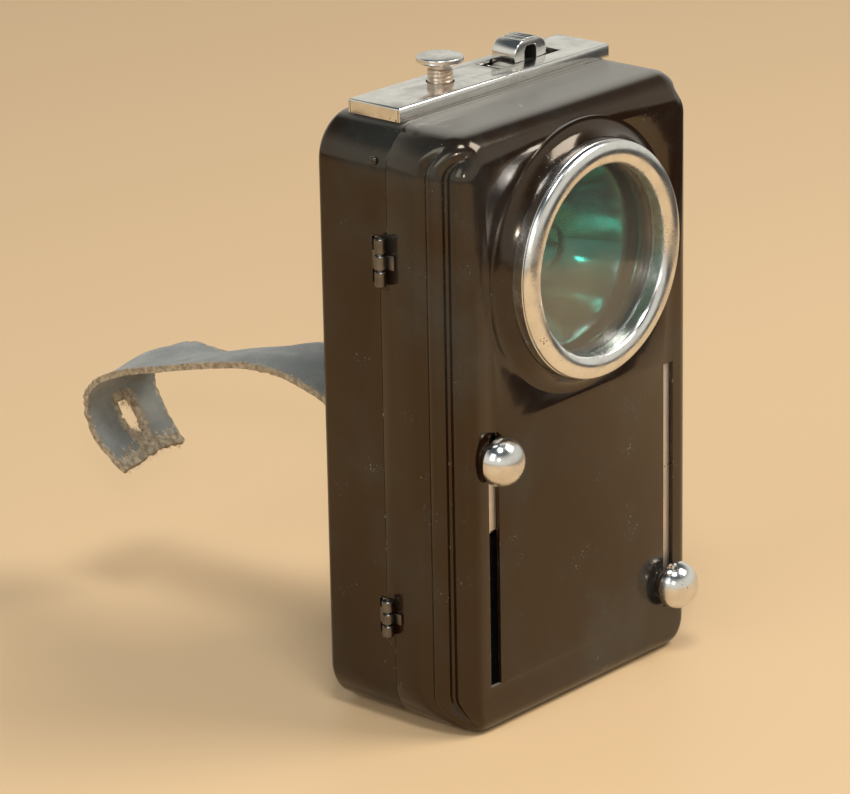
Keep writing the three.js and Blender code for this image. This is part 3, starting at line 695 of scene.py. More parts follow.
@dataclass(frozen=True)
class Plating:
    """Bright plated metal, lightly pitted, with rust where moisture sat."""

    name: str = "chrome_plate"
    colour: tuple = rgb(0.78, 0.77, 0.745)
    dull_colour: tuple = rgb(0.47, 0.44, 0.40)
    rust_colour: tuple = rgb(0.20, 0.085, 0.03)
    gloss: float = 0.14
    dulling: float = 0.5
    pitting: float = 0.47
    brushed: float = 1.0

    def material(self, patterns: Patterns) -> bpy.types.Material:
        """Builds the material from the shared patterns."""
        paint = Paint(self.name)
        wiring = paint.wiring
        tarnish = wiring.pattern(patterns.clouds, scale=170.0, low=0.35, high=0.75).outputs[0]
        pits = wiring.pattern(patterns.speckle, scale=1700.0, size=0.34, patchiness=self.pitting).outputs[0]
        dulled = wiring.maths("MULTIPLY", tarnish, self.dulling)
        plate = wiring.blend(dulled, self.colour, self.dull_colour)
        paint.lay("Base Color", wiring.blend(pits, plate, self.rust_colour))
        paint.lay("Metallic", wiring.maths("MULTIPLY_ADD", pits, -0.85, 1.0))
        rough = wiring.maths("MULTIPLY_ADD", tarnish, 0.16, self.gloss)
        paint.lay("Roughness", wiring.maths("MULTIPLY_ADD", pits, 0.5, rough, clamp=True))
        wear = wiring.pattern(patterns.grain, scale=900.0, stretch=self.brushed).outputs[0]
        paint.bump(wiring.maths("SUBTRACT", wear, pits), 0.16, 0.0001)
        return paint.material


@dataclass(frozen=True)
class Glass:
    """Clear or coloured glass or film with a light film of dust."""

    name: str = "lens_clear"
    colour: tuple = rgb(0.93, 0.97, 0.95)
    gloss: float = 0.03
    refraction: float = 1.5
    dust: float = 0.5
    dust_colour: tuple = rgb(0.30, 0.31, 0.26)
    veil: float = 0.0

    def material(self, patterns: Patterns) -> bpy.types.Material:
        """Builds the material from the shared patterns."""
        paint = Paint(self.name)
        wiring = paint.wiring
        specks = wiring.pattern(patterns.speckle, scale=2600.0, size=0.30, patchiness=0.42).outputs[0]
        smear = wiring.pattern(patterns.clouds, scale=120.0, low=0.3, high=0.9).outputs[0]
        film = wiring.maths("MULTIPLY", wiring.maths("MAXIMUM", specks, smear), self.dust)
        paint.lay("Base Color", wiring.blend(film, self.colour, self.dust_colour))
        paint.lay("Roughness", wiring.maths("MULTIPLY_ADD", film, 0.25, self.gloss))
        paint.lay("Transmission Weight", 1.0)
        paint.lay("Sheen Weight", self.veil)
        paint.lay("Sheen Roughness", 0.7)
        paint.lay("Sheen Tint", rgb(0.75, 0.70, 0.55))
        paint.lay("IOR", self.refraction)
        return paint.material


@dataclass(frozen=True)
class Matt:
    """A plain solid stuff with two mottled colours and a fine grain."""

    name: str
    colour: tuple
    second: tuple
    roughness: float
    grain: float = 500.0
    relief: float = 0.25
    patches: float = 200.0

    def material(self, patterns: Patterns) -> bpy.types.Material:
        """Builds the material from the shared patterns."""
        paint = Paint(self.name)
        wiring = paint.wiring
        patches = wiring.pattern(patterns.clouds, scale=self.patches, low=0.3, high=0.7).outputs[0]
        paint.lay("Base Color", wiring.blend(patches, self.colour, self.second))
        paint.lay("Roughness", wiring.maths("MULTIPLY_ADD", patches, 0.1, self.roughness, clamp=True))
        grain = wiring.pattern(patterns.grain, scale=self.grain, stretch=1.0).outputs[0]
        paint.bump(grain, self.relief, 0.0003)
        return paint.material


@dataclass(frozen=True)
class Leathercloth:
    """Coated woven cloth, read in the strap's own flat directions."""

    name: str = "strap_cloth"
    colour: tuple = rgb(0.155, 0.160, 0.150)
    pale: tuple = rgb(0.34, 0.34, 0.31)
    lint_colour: tuple = rgb(0.42, 0.40, 0.35)
    threads_across: float = 26.0
    threads_along: float = 170.0

    def material(self, patterns: Patterns) -> bpy.types.Material:
        """Builds the material from the shared patterns."""
        paint = Paint(self.name)
        wiring = paint.wiring
        flat = wiring.node("TexCoord").outputs["UV"]
        split = wiring.node("SeparateXYZ", {0: flat})
        warp_turn = wiring.maths("MULTIPLY", split.outputs[0], math.tau * self.threads_across)
        weft_turn = wiring.maths("MULTIPLY", split.outputs[1], math.tau * self.threads_along)
        warp, weft = wiring.maths("SINE", warp_turn), wiring.maths("SINE", weft_turn)
        weave = wiring.maths("MULTIPLY_ADD", wiring.maths("MULTIPLY", warp, weft), 0.5, 0.5)
        patches = wiring.pattern(patterns.clouds, scale=140.0, low=0.35, high=0.75).outputs[0]
        rubbed = wiring.maths("MULTIPLY_ADD", weave, 0.22, wiring.maths("MULTIPLY", patches, 0.55))
        lint = wiring.pattern(patterns.speckle, scale=1800.0, size=0.3, patchiness=0.42).outputs[0]
        cloth = wiring.blend(rubbed, self.colour, self.pale)
        linted = wiring.maths("MULTIPLY", lint, 0.6)
        paint.lay("Base Color", wiring.blend(linted, cloth, self.lint_colour))
        paint.lay("Roughness", 0.82)
        paint.lay("Sheen Weight", 0.25)
        grain = wiring.pattern(patterns.grain, scale=1400.0, stretch=1.0).outputs[0]
        height = wiring.maths("MULTIPLY_ADD", weave, 0.5, grain)
        paint.bump(height, 0.45, 0.00025)
        return paint.material


@dataclass(frozen=True)
class Palette:
    """Every finish of the torch, by the name of its slot."""

    materials: dict[str, bpy.types.Material]

    @classmethod
    def mixed(cls) -> "Palette":
        """Mixes all the finishes."""
        patterns = Patterns()
        brass = Plating(
            "contact_brass", rgb(0.62, 0.42, 0.16), rgb(0.30, 0.19, 0.08), gloss=0.28, dulling=0.8
        )
        silver = Plating(
            "reflector_silver", rgb(0.93, 0.93, 0.92), rgb(0.80, 0.79, 0.75), gloss=0.05, dulling=0.3
        )
        pitch = Matt(
            "battery_pitch", rgb(0.012, 0.011, 0.010), rgb(0.03, 0.027, 0.024), 0.45, grain=120.0, relief=0.6
        )
        core = Matt(
            "frayed_core", rgb(0.50, 0.41, 0.29), rgb(0.22, 0.17, 0.11), 0.95, 2200.0, 0.9, patches=900.0
        )
        rusty = Plating(
            "rusty_plate", rgb(0.70, 0.60, 0.50), rgb(0.42, 0.21, 0.09), gloss=0.3, dulling=0.85, pitting=0.40
        )
        finishes = (
            Lacquer(),
            Plating(),
            Plating("bezel_chrome", gloss=0.17, dulling=0.35, pitting=0.50),
            Plating("slide_tin", rgb(0.74, 0.66, 0.58), rgb(0.52, 0.44, 0.36), gloss=0.5, dulling=0.7),
            Plating("ridge_chrome", gloss=0.2, dulling=0.85, pitting=0.42),
            Plating("worn_hinge", rgb(0.11, 0.10, 0.09), rgb(0.30, 0.27, 0.23), gloss=0.28, dulling=0.6),
            brass,
            rusty,
            Plating("spring_steel", rgb(0.45, 0.45, 0.45), rgb(0.26, 0.25, 0.24), gloss=0.3, dulling=0.9),
            silver,
            Matt("board_fibre", rgb(0.21, 0.085, 0.035), rgb(0.13, 0.05, 0.022), 0.7),
            Glass(veil=0.16),
            Glass("bulb_clear", gloss=0.01, dust=0.05),
            Glass("filter_green", rgb(0.16, 0.52, 0.47), gloss=0.05, refraction=1.48, dust=0.12),
            Glass("filter_red", rgb(0.85, 0.30, 0.24), gloss=0.05, refraction=1.48, dust=0.12),
            Matt("battery_card", rgb(0.07, 0.13, 0.27), rgb(0.10, 0.17, 0.31), 0.6, grain=900.0),
            pitch,
            Leathercloth(),
            core,
            # Near-black matt laid inside the thumb piece's mouth: painted shade, not the metal's own colour.
            Matt("dark_mouth", rgb(0.010, 0.009, 0.008), rgb(0.02, 0.018, 0.016), 0.6),
        )
        return cls({finish.name: finish.material(patterns) for finish in finishes})

    def dress(self, piece: bpy.types.Object, *names: str) -> None:
        """Gives a piece its materials, in the order of its slots."""
        piece.data.materials.clear()
        for name in names:
            piece.data.materials.append(self.materials[name])


# ---------------------------------------------------------------- Sub-assemblies


@dataclass
class SubAssembly:
    """What every sub-assembly has: the datum, the palette and a way to hand a piece over."""

    datum: Datum
    palette: Palette

    def fit(
        self,
        piece: bpy.types.Object,
        body: Body,
        slot: str,
        *nodes: str,
        finish: Sequence[str] = (),
    ) -> bpy.types.Object:
        """Dresses a finished piece, and fixes it to its body.

        Args:
            piece: The finished piece.
            body: Body that it moves with.
            slot: The record's slot that its finish belongs to.
            nodes: CAD nodes that it stands for.
            finish: Material names, if they aren't the slot's own.

        Returns:
            The piece.
        """
        self.palette.dress(piece, *(finish or (slot,)))
        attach(piece, body.value)
        if nodes:
            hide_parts(*nodes)
        log.info("%s rides on %s with %d faces", piece.name, body.value, len(piece.data.polygons))
        return piece


@dataclass
class Tray(SubAssembly):
    """The drawn rear half of the case."""

    corner: float = 8.5 * MM
    rear_edge: float = 1.5 * MM
    wall: float = 0.7 * MM
    lip: float = 0.12 * MM

    def build(self) -> None:
        """Models the tray, its rim notch and its roof openings."""
        d = self.datum
        low = (-d.half_width, d.seam, 0.0)
        tray = cube("tray_shell", low, (d.half_width, d.rear, d.height))
        round_edges(tray, along(Axis.Y), self.corner, 14)
        edit(tray)
        pick_faces(tray, lambda centre, normal: normal.y > 0.9)
        bpy.ops.mesh.region_to_loop()
        bpy.ops.mesh.bevel(offset=self.rear_edge, segments=8, affect="EDGES")
        bpy.ops.mesh.select_all(action="DESELECT")
        pick_faces(tray, lambda centre, normal: normal.y < -0.9)
        bpy.ops.mesh.delete(type="FACE")
        shut()
        orient(tray)
        change(tray, "SOLIDIFY", thickness=self.wall, offset=-1.0, use_even_offset=True)
        self._open_notch(tray)
        self._open_roof(tray)
        soften(tray, self.lip)
        smooth(tray)
        self.fit(tray, Body.CASE, "case_lacquer", "rear_case")
        self._rivets()

    def _open_notch(self, tray: bpy.types.Object) -> None:
        """Cuts the left rim back where the cover's tongue enters it."""
        d = self.datum
        tongue = Tongue.read()
        cut_box(
            tray,
            (-d.half_width - self.wall, d.seam - self.wall, tongue.bottom),
            (-d.half_width + 2 * self.wall, tongue.rear + 0.1 * MM, tongue.top),
        )

    def _open_roof(self, tray: bpy.types.Object) -> None:
        """Cuts the hole for the button's shaft and the window for the switch contact."""
        d = self.datum
        shaft = Box.of("button_collar").centre
        hole = 2.7 * MM / 2
        top = (d.height - 2 * self.wall, d.height + self.wall)
        cut_box(tray, (shaft.x - hole, shaft.y - hole, top[0]), (shaft.x + hole, shaft.y + hole, top[1]))
        slider = Box.of("switch_slider")
        cut_box(
            tray,
            (slider.low.x - 3 * MM, slider.centre.y - 2.2 * MM, top[0]),
            (slider.high.x + 3 * MM, slider.centre.y + 2.2 * MM, top[1]),
        )

    def _rivets(self) -> None:
        """Models the two small round heads on the sides."""
        for side, node in ((Side.LEFT, "case_rivet_left"), (Side.RIGHT, "case_rivet_right")):
            box = Box.of(node)
            foot = box.high.x if side is Side.LEFT else box.low.x
            rise, radius = box.size.x, box.size.z / 2
            dome = [(radius, 0.0), (radius, rise * 0.2)]
            dome += [(radius * math.cos(t), rise * (0.2 + 0.8 * math.sin(t))) for t in (0.4, 0.8, 1.2)]
            dome = [(r, side.value * h) for r, h in [(0.0, 0.0), *dome, (0.0, rise)]]
            centre = Vector((foot, box.centre.y, box.centre.z))
            rivet = turned(f"side_rivet_{side.name.lower()}", dome, centre, Axis.X, 24)
            self.fit(rivet, Body.CASE, "case_lacquer", node)


@dataclass(frozen=True)
class Tongue:
    """The strip of the cover's left wall that enters the tray's rim."""

    bottom: float
    top: float
    rear: float

    @classmethod
    def read(cls) -> "Tongue":
        """Reads the strip from the hinges and the cover's box."""
        gap = 1.0 * MM
        return cls(
            bottom=Box.of("hinge_tray_lower").high.z + gap,
            top=Box.of("hinge_tray_upper").low.z - gap,
            rear=Box.of("front_cover").high.y,
        )


@dataclass
class Cover(SubAssembly):
    """The hinged front half: fluted sides, two slots and the raised collar round the lens."""

    wall: float = 0.7 * MM
    corner: float = 8.5 * MM
    top_round: float = 6.0 * MM
    bottom_round: float = 3.0 * MM
    step: tuple = ((0.0, 11.2), (0.02, 10.7), (0.10, 10.2), (0.28, 9.7), (0.55, 9.25), (0.85, 8.85))
    outer_bead: float = 2.0 * MM
    inner_bead: float = 3.25 * MM
    outer_centre: tuple[float, float] = (2.6 * MM, 7.0 * MM)
    inner_centre: tuple[float, float] = (5.8 * MM, 3.25 * MM)
    corner_steps: int = 18
    collar_sides: int = 112
    bead_steps: int = 12
    collar_flare: float = 3.6 * MM
    collar_rise: float = 2.15 * MM
    slot_width: float = 2.87 * MM
    slot_past_knob: tuple[float, float] = (4.7 * MM, 5.0 * MM)
    seam_gap: float = 0.1 * MM

    def build(self) -> None:
        """Models the cover and joins its collar to it."""
        shell = self._pressing()
        change(shell, "SOLIDIFY", thickness=self.wall, offset=-1.0, use_even_offset=True)
        self._trim_rim(shell)
        self._open_slots(shell)
        self._open_lens(shell)
        soften(shell, 0.10 * MM, degrees=55)
        smooth(shell, 28)
        collar = self._collar()
        whole = join("cover_shell", [shell, collar])
        self.fit(whole, Body.COVER, "case_lacquer", "front_cover")

    def _fluted_side(self) -> Profile:
        """The side's profile as (inset, depth behind the front face), from the rim forwards."""
        deep = Box.of("front_cover").high.y - self.datum.front + 0.5 * MM
        outer = [self._bead_point(self.outer_centre, self.outer_bead, a) for a in self._sweep(43, -90)]
        inner = [self._bead_point(self.inner_centre, self.inner_bead, a) for a in self._sweep(22, -90)]
        lead = [(0.0, deep), *((inset * MM, depth * MM) for inset, depth in self.step)]
        return [*lead, *outer, *inner]

    def _sweep(self, start: float, end: float) -> list[float]:
        """Angles of a bead's arc, in degrees."""
        return [start + (end - start) * i / self.bead_steps for i in range(self.bead_steps + 1)]

    @staticmethod
    def _bead_point(centre: tuple[float, float], radius: float, angle: float) -> tuple[float, float]:
        """A point of a bead, as (inset, depth)."""
        turn = math.radians(angle)
        return centre[0] - radius * math.cos(turn), centre[1] + radius * math.sin(turn)

    def _plain_edge(self, radius: float, count: int, deep: float) -> Profile:
        """A plain rounded edge with as many points as the fluted side has.

        Args:
            radius: Radius of the edge.
            count: Number of points.
            deep: Depth of the rim behind the front face.

        Returns:
            (inset, depth) pairs from the rim forwards.
        """
        turns = [math.pi / 2 * i / (count - 2) for i in range(count - 1)]
        return [(0.0, deep)] + [(radius * (1 - math.cos(t)), radius * (1 - math.sin(t))) for t in turns]

    def _outline(self) -> list[tuple[Vector, float]]:
        """The front outline as points, each with the angle of its outward direction."""
        d = self.datum
        reach = (d.half_width - self.corner, d.height / 2 - self.corner)
        made = []
        for quarter in range(4):
            across = (1, -1, -1, 1)[quarter] * reach[0]
            up = (1, 1, -1, -1)[quarter] * reach[1] + d.height / 2
            for step in range(self.corner_steps + 1):
                turn = math.pi / 2 * (quarter + step / self.corner_steps)
                made.append((Vector((across, up)), turn))
        return made

    def _pressing(self) -> bpy.types.Object:
        """The outer skin: the fluted side fades into plain edges round the corners."""
        side = self._fluted_side()
        deep = side[0][1]
        top = self._plain_edge(self.top_round, len(side), deep)
        bottom = self._plain_edge(self.bottom_round, len(side), deep)
        outline = self._outline()
        columns, rows = len(outline), len(side) - 1

        def place(u: float, v: float) -> Vector:
            """Point of the skin at a share of the outline and of the profile."""
            centre, turn = outline[round(u * columns) % columns]
            index = round(v * rows)
            outward = Vector((math.cos(turn), math.sin(turn)))
            plain = top if outward.y > 0 else bottom
            lean = math.degrees(math.asin(min(abs(outward.y), 1.0)))
            fade = ease((lean - 12) / 62)
            inset = side[index][0] * (1 - fade) + plain[index][0] * fade
            depth = side[index][1] * (1 - fade) + plain[index][1] * fade
            point = centre + outward * (self.corner - inset)
            return Vector((point.x, self.datum.front + depth, point.y))

        skin = woven_grid("cover_shell", columns, rows, place)
        orient(skin)
        edit(skin)
        front = self.datum.front
        pick_edges(skin, lambda a, b: max(abs(a.y - front), abs(b.y - front)) < 1e-6)
        bpy.ops.mesh.edge_face_add()
        shut()
        orient(skin)
        edit(skin)
        mesh = bmesh.from_edit_mesh(skin.data)
        face = max(mesh.faces, key=lambda f: f.calc_area())
        if face.normal.y > 0:
            bpy.ops.mesh.select_all(action="SELECT")
            bpy.ops.mesh.flip_normals()
        shut()
        return skin

    def _trim_rim(self, shell: bpy.types.Object) -> None:
        """Cuts the rim back to the seam except along the tongue."""
        d = self.datum
        tongue = Tongue.read()
        seam = d.seam - self.seam_gap
        far = tongue.rear + 3 * MM
        side = d.half_width + 2 * MM
        wide = (-d.half_width + 2 * self.wall, side)
        top = d.height + 2 * MM
        cut_box(shell, (wide[0], seam, -2 * MM), (wide[1], far, top))
        cut_box(shell, (-side, seam, -3 * MM), (wide[0] + 1 * MM, far, tongue.bottom))
        cut_box(shell, (-side, seam, tongue.top), (wide[0] + 1 * MM, far, top + 1 * MM))
        cut_box(shell, (-side - 1 * MM, tongue.rear, -4 * MM), (wide[0] + 2 * MM, far + 1 * MM, top + 2 * MM))

    def _open_slots(self, shell: bpy.types.Object) -> None:
        """Cuts the two upright slots that the knobs run in."""
        left, right = Box.of("green_knob").centre, Box.of("red_knob").centre
        low, high = right.z - self.slot_past_knob[0], left.z + self.slot_past_knob[1]
        half = self.slot_width / 2
        for x in (left.x, right.x):
            cut_box(
                shell,
                (x - half, self.datum.front - 1 * MM, low),
                (x + half, self.datum.front + 2 * MM, high),
            )

    def _open_lens(self, shell: bpy.types.Object) -> None:
        """Cuts the round light opening."""
        d = self.datum
        radius = d.lens_radius + self.collar_flare
        centre = Vector((0.0, d.front, d.lens.z))
        plug = [(0.0, -2 * MM), (radius, -2 * MM), (radius, 3 * MM), (0.0, 3 * MM)]
        cut_out(shell, turned("lens_plug", plug, centre, Axis.Y, self.collar_sides))

    def _collar(self) -> bpy.types.Object:
        """The hollow-sided collar that rises from the front face to the lens ring."""
        d = self.datum
        ring = d.lens_radius
        flare, rise = self.collar_flare, self.collar_rise
        inner = Box.of("lens_glass").size.x / 2 + 0.3 * MM
        sweep = [i / 18 for i in range(19)]
        hollow = [(ring + 0.1 * MM + (flare - 0.1 * MM) * (1 - t), -rise * t**2.3) for t in sweep]
        crest = arc((ring - 0.35 * MM, -rise + 0.25 * MM), 0.45 * MM, -20, -90, 4)
        spigot = [(inner, -rise - 0.2 * MM), (inner, self.wall)]
        profile = [*hollow, *crest, *spigot, (ring + flare, self.wall), hollow[0]]
        centre = Vector((0.0, d.front, d.lens.z))
        collar = turned("lens_collar", profile, centre, Axis.Y, self.collar_sides)
        smooth(collar, 50)
        return collar


@dataclass
class Lens(SubAssembly):
    """The chrome ring, its glass and the lamp behind it."""

    ring_width: float = 4.4 * MM
    reflector_depth: float = 12.0 * MM

    def build(self) -> None:
        """Models the ring, the glass, the reflector and the lamp."""
        self._ring()
        self._glass()
        self._reflector()
        self._lamp()

    def _ring(self) -> None:
        """A rolled ring with a bright crown, a stepped outer skirt and a sloped inner lip."""
        box = Box.of("lens_ring")
        outer = box.size.x / 2
        front, rear = box.low.y, box.high.y
        clear = outer - self.ring_width
        high = 1.25 * MM
        middle = (clear + outer) / 2
        half = self.ring_width / 2
        outside = [self._oval((middle, front + high), half, high, a) for a in range(0, -181, -12)]
        wall = [(clear, front + 2.0 * MM), (clear, rear - 0.35 * MM)]
        step = outer - 0.12 * MM
        skirt = [(outer, rear), (outer, front + high + 0.5 * MM)]
        skirt += [(step, front + high + 0.38 * MM), (step, front + high + 0.2 * MM)]
        back = [(outer - 1.4 * MM, rear - 0.35 * MM), (outer - 1.4 * MM, rear)]
        profile = [*skirt, *outside, *wall, *back, skirt[0]]
        centre = Vector((0.0, 0.0, box.centre.z))
        ring = turned("bezel_ring", profile, centre, Axis.Y, 128)
        smooth(ring, 45)
        self.fit(ring, Body.COVER, "chrome_plate", "lens_ring", finish=("bezel_chrome",))

    @staticmethod
    def _oval(centre: tuple[float, float], wide: float, deep: float, angle: float) -> tuple[float, float]:
        """A point of an oval section."""
        turn = math.radians(angle)
        return centre[0] + wide * math.cos(turn), centre[1] + deep * math.sin(turn)

    def _glass(self) -> None:
        """A flat glass with ground edges."""
        box = Box.of("lens_glass")
        radius = box.size.x / 2
        edge = 0.2 * MM
        profile = [(0.0, box.low.y), (radius - edge, box.low.y), (radius, box.low.y + edge)]
        profile += [(radius, box.high.y - edge), (radius - edge, box.high.y), (0.0, box.high.y)]
        glass = turned("lens_disc", profile, Vector((0.0, 0.0, box.centre.z)), Axis.Y, 96)
        self.fit(glass, Body.COVER, "lens_clear", "lens_glass")

    def _reflector(self) -> None:
        """A spun dish with a rolled rim and a short neck."""
        box = Box.of("reflector")
        neck, rim = 6.0 * MM, box.size.x / 2 - 1.2 * MM
        rear, front = box.high.y, box.low.y
        steps = [i / 16 for i in range(17)]
        dish = [(neck + (rim - neck) * t, rear - self.reflector_depth * t**1.9) for t in steps]
        outer = [(r + 0.5 * MM, min(y + 0.15 * MM, rear)) for r, y in reversed(dish)]
        roll = arc((rim + 0.6 * MM, front + 0.55 * MM), 0.5 * MM, -150, 90, 8)
        profile = [*dish, *roll, *outer, dish[0]]
        reflector = turned("reflector_dish", profile, Vector((0.0, 0.0, box.centre.z)), Axis.Y, 96)
        smooth(reflector, 50)
        self.fit(reflector, Body.CASE, "reflector_silver", "reflector")

    def _lamp(self) -> None:
        """The lamp's globe, its threaded base and the holder."""
        globe_box, base_box, socket_box = (Box.of(n) for n in ("bulb_glass", "bulb_base", "bulb_socket"))
        centre = Vector((0.0, 0.0, globe_box.centre.z))
        radius = globe_box.size.x / 2
        middle = globe_box.low.y + radius
        globe = [(0.0, globe_box.low.y), *arc((0.0, middle), radius, -80, 45, 18)]
        globe += [(base_box.size.x / 2 - 0.7 * MM, globe_box.high.y), (0.0, globe_box.high.y)]
        lamp = turned("lamp_globe", globe, centre, Axis.Y, 48)
        self.fit(lamp, Body.CASE, "lens_clear", "bulb_glass", finish=("bulb_clear",))
        thread_radius = base_box.size.x / 2
        start, end = base_box.low.y, base_box.high.y - 2.4 * MM
        turns = 5
        pitch = (end - start) / turns
        crests = []
        for turn in range(turns):
            foot = start + turn * pitch
            crests += [(thread_radius - 0.35 * MM, foot + 0.05 * pitch), (thread_radius, foot + 0.5 * pitch)]
        tip = [(thread_radius - 0.4 * MM, end), (1.9 * MM, end + 1.2 * MM), (1.5 * MM, end + 2.2 * MM)]
        base = [(0.0, start), *crests, *tip, (0.0, base_box.high.y)]
        self.fit(turned("lamp_base", base, centre, Axis.Y, 48), Body.CASE, "contact_brass", "bulb_base")
        bore, barrel = thread_radius + 0.12 * MM, socket_box.size.x / 2 - 0.9 * MM
        low, high = socket_box.low.y, socket_box.high.y
        flange = low + 1.35 * MM
        holder = [(bore, low), (barrel, low), (barrel, flange), (barrel + 0.8 * MM, flange + 0.05 * MM)]
        holder += [(barrel + 0.9 * MM, flange + 0.3 * MM), (barrel + 0.8 * MM, flange + 0.55 * MM)]
        holder += [(barrel, flange + 0.6 * MM), (barrel, high - 0.1 * MM), (bore, high), (bore, low)]
        self.fit(turned("lamp_holder", holder, centre, Axis.Y, 48), Body.CASE, "contact_brass", "bulb_socket")


@dataclass
class FilterKnob(SubAssembly):
    """A domed knob with a groove round its foot, and the washer under it."""

    side: Side = Side.LEFT
    body: Body = Body.GREEN
    prefix: str = "green"
    half_length: float = 4.2 * MM
    flange: float = 3.1 * MM
    rib: tuple[float, float] = (-14.2 * MM, 0.0)

    def build(self) -> None:
        """Models the knob and its washer."""
        box = Box.of(f"{self.prefix}_knob")
        washer_box = Box.of(f"{self.prefix}_knob_washer")
        radius = box.size.x / 2
        front, foot = box.low.y, washer_box.low.y - 0.05 * MM
        half = self.half_length
        belly = front + half
        ball = [
            (radius * math.cos(t), belly + half * math.sin(t))
            for t in (math.radians(a) for a in range(-84, 7, 6))
        ]
        groove = [(radius - 0.75 * MM, ball[-1][1] + 0.1 * MM), (self.flange - 0.35 * MM, foot - 0.62 * MM)]
        flange = arc((self.flange - 0.3 * MM, foot - 0.3 * MM), 0.3 * MM, -80, 80, 6)
        stem = [(1.1 * MM, foot), (1.1 * MM, box.high.y), (0.0, box.high.y)]
        profile = [(0.0, front), *ball, *groove, *flange, *stem]
        centre = Vector((box.centre.x, 0.0, box.centre.z))
        word = self.side.name.lower()
        knob = turned(f"knob_{word}", profile, centre, Axis.Y, 64)
        self.fit(knob, self.body, "chrome_plate", f"{self.prefix}_knob")
        outer, bore = washer_box.size.x / 2, 1.2 * MM
        low, high = washer_box.low.y, washer_box.high.y
        rounded = [(outer - 0.15 * MM, low), (outer, low + 0.12 * MM)]
        ring = [(bore, low), *rounded, (outer, high), (bore, high), (bore, low)]
        washer = turned(f"knob_washer_{word}", ring, centre, Axis.Y, 40)
        self._rib(centre)
        self.fit(washer, self.body, "contact_brass", f"{self.prefix}_knob_washer", finish=("rusty_plate",))

    def _rib(self, knob: Vector) -> None:
        """The strip of the slide that shows through the slot."""
        carrier = Box.of(f"{self.prefix}_carrier")
        inner_face = self.datum.front + 0.7 * MM
        low = (knob.x - 1.5 * MM, inner_face + 0.08 * MM, knob.z + self.rib[0])
        high = (knob.x + 1.5 * MM, carrier.low.y + 0.1 * MM, knob.z + self.rib[1])
        strip = cube(f"slide_strip_{self.side.name.lower()}", low, high)
        soften(strip, 0.2 * MM)
        smooth(strip)
        self.fit(strip, self.body, "chrome_plate", finish=("slide_tin",))


@dataclass
class SwitchPlate(SubAssembly):
    """The folded chrome channel on the roof, with its hole and window."""

    sheet: float = 0.6 * MM
    fold: float = 0.35 * MM
    stem_clearance: float = 0.3 * MM
    slit: float = 0.14 * MM

    def build(self) -> None:
        """Models the channel."""
        box = Box.of("switch_plate")
        plate = cube("plate_channel", box.low, box.high)
        edit(plate)
        pick_faces(plate, lambda centre, normal: normal.z < -0.9)
        bpy.ops.mesh.delete(type="FACE")
        shut()
        top = box.high.z
        round_edges(plate, lambda a, b: min(a.z, b.z) > top - 1e-6, self.fold, 4)
        orient(plate)
        change(plate, "SOLIDIFY", thickness=self.sheet, offset=-1.0, use_even_offset=True)
        self._open_top(plate, box)
        self._part_corners(plate, box)
        soften(plate, 0.06 * MM, degrees=50)
        smooth(plate)
        self.fit(plate, Body.CASE, "chrome_plate", "switch_plate")

    def _open_top(self, plate: bpy.types.Object, box: Box) -> None:
        """Cuts the button's round hole and the slider's window."""
        button = Box.of("button_collar").centre
        radius = 2.4 * MM + self.stem_clearance
        bore = [(0.0, -2 * MM), (radius, -2 * MM), (radius, 1 * MM), (0.0, 1 * MM)]
        centre = Vector((button.x, button.y, box.high.z))
        cut_out(plate, turned("stem_bore", bore, centre, Axis.Z, 48))
        slider = Box.of("switch_slider")
        thumb = 5.7 * MM / 2 + 0.25 * MM
        cut_box(
            plate,
            (slider.centre.x - 9.5 * MM, slider.centre.y - thumb, box.high.z - 2 * MM),
            (slider.centre.x + 8.9 * MM, slider.centre.y + thumb, box.high.z + 1 * MM),
        )

    def _part_corners(self, plate: bpy.types.Object, box: Box) -> None:
        """Cuts the thin open seams where the folded flanges meet at the corners."""
        for x in (box.low.x, box.high.x):
            for y, inward in ((box.low.y, 1), (box.high.y, -1)):
                near = y + inward * self.fold
                edges = sorted((near, near + inward * self.slit))
                cut_box(
                    plate,
                    (x - self.sheet * 1.4, edges[0], box.low.z - 1 * MM),
                    (x + self.sheet * 1.4, edges[1], box.high.z - self.fold - 0.1 * MM),
                )


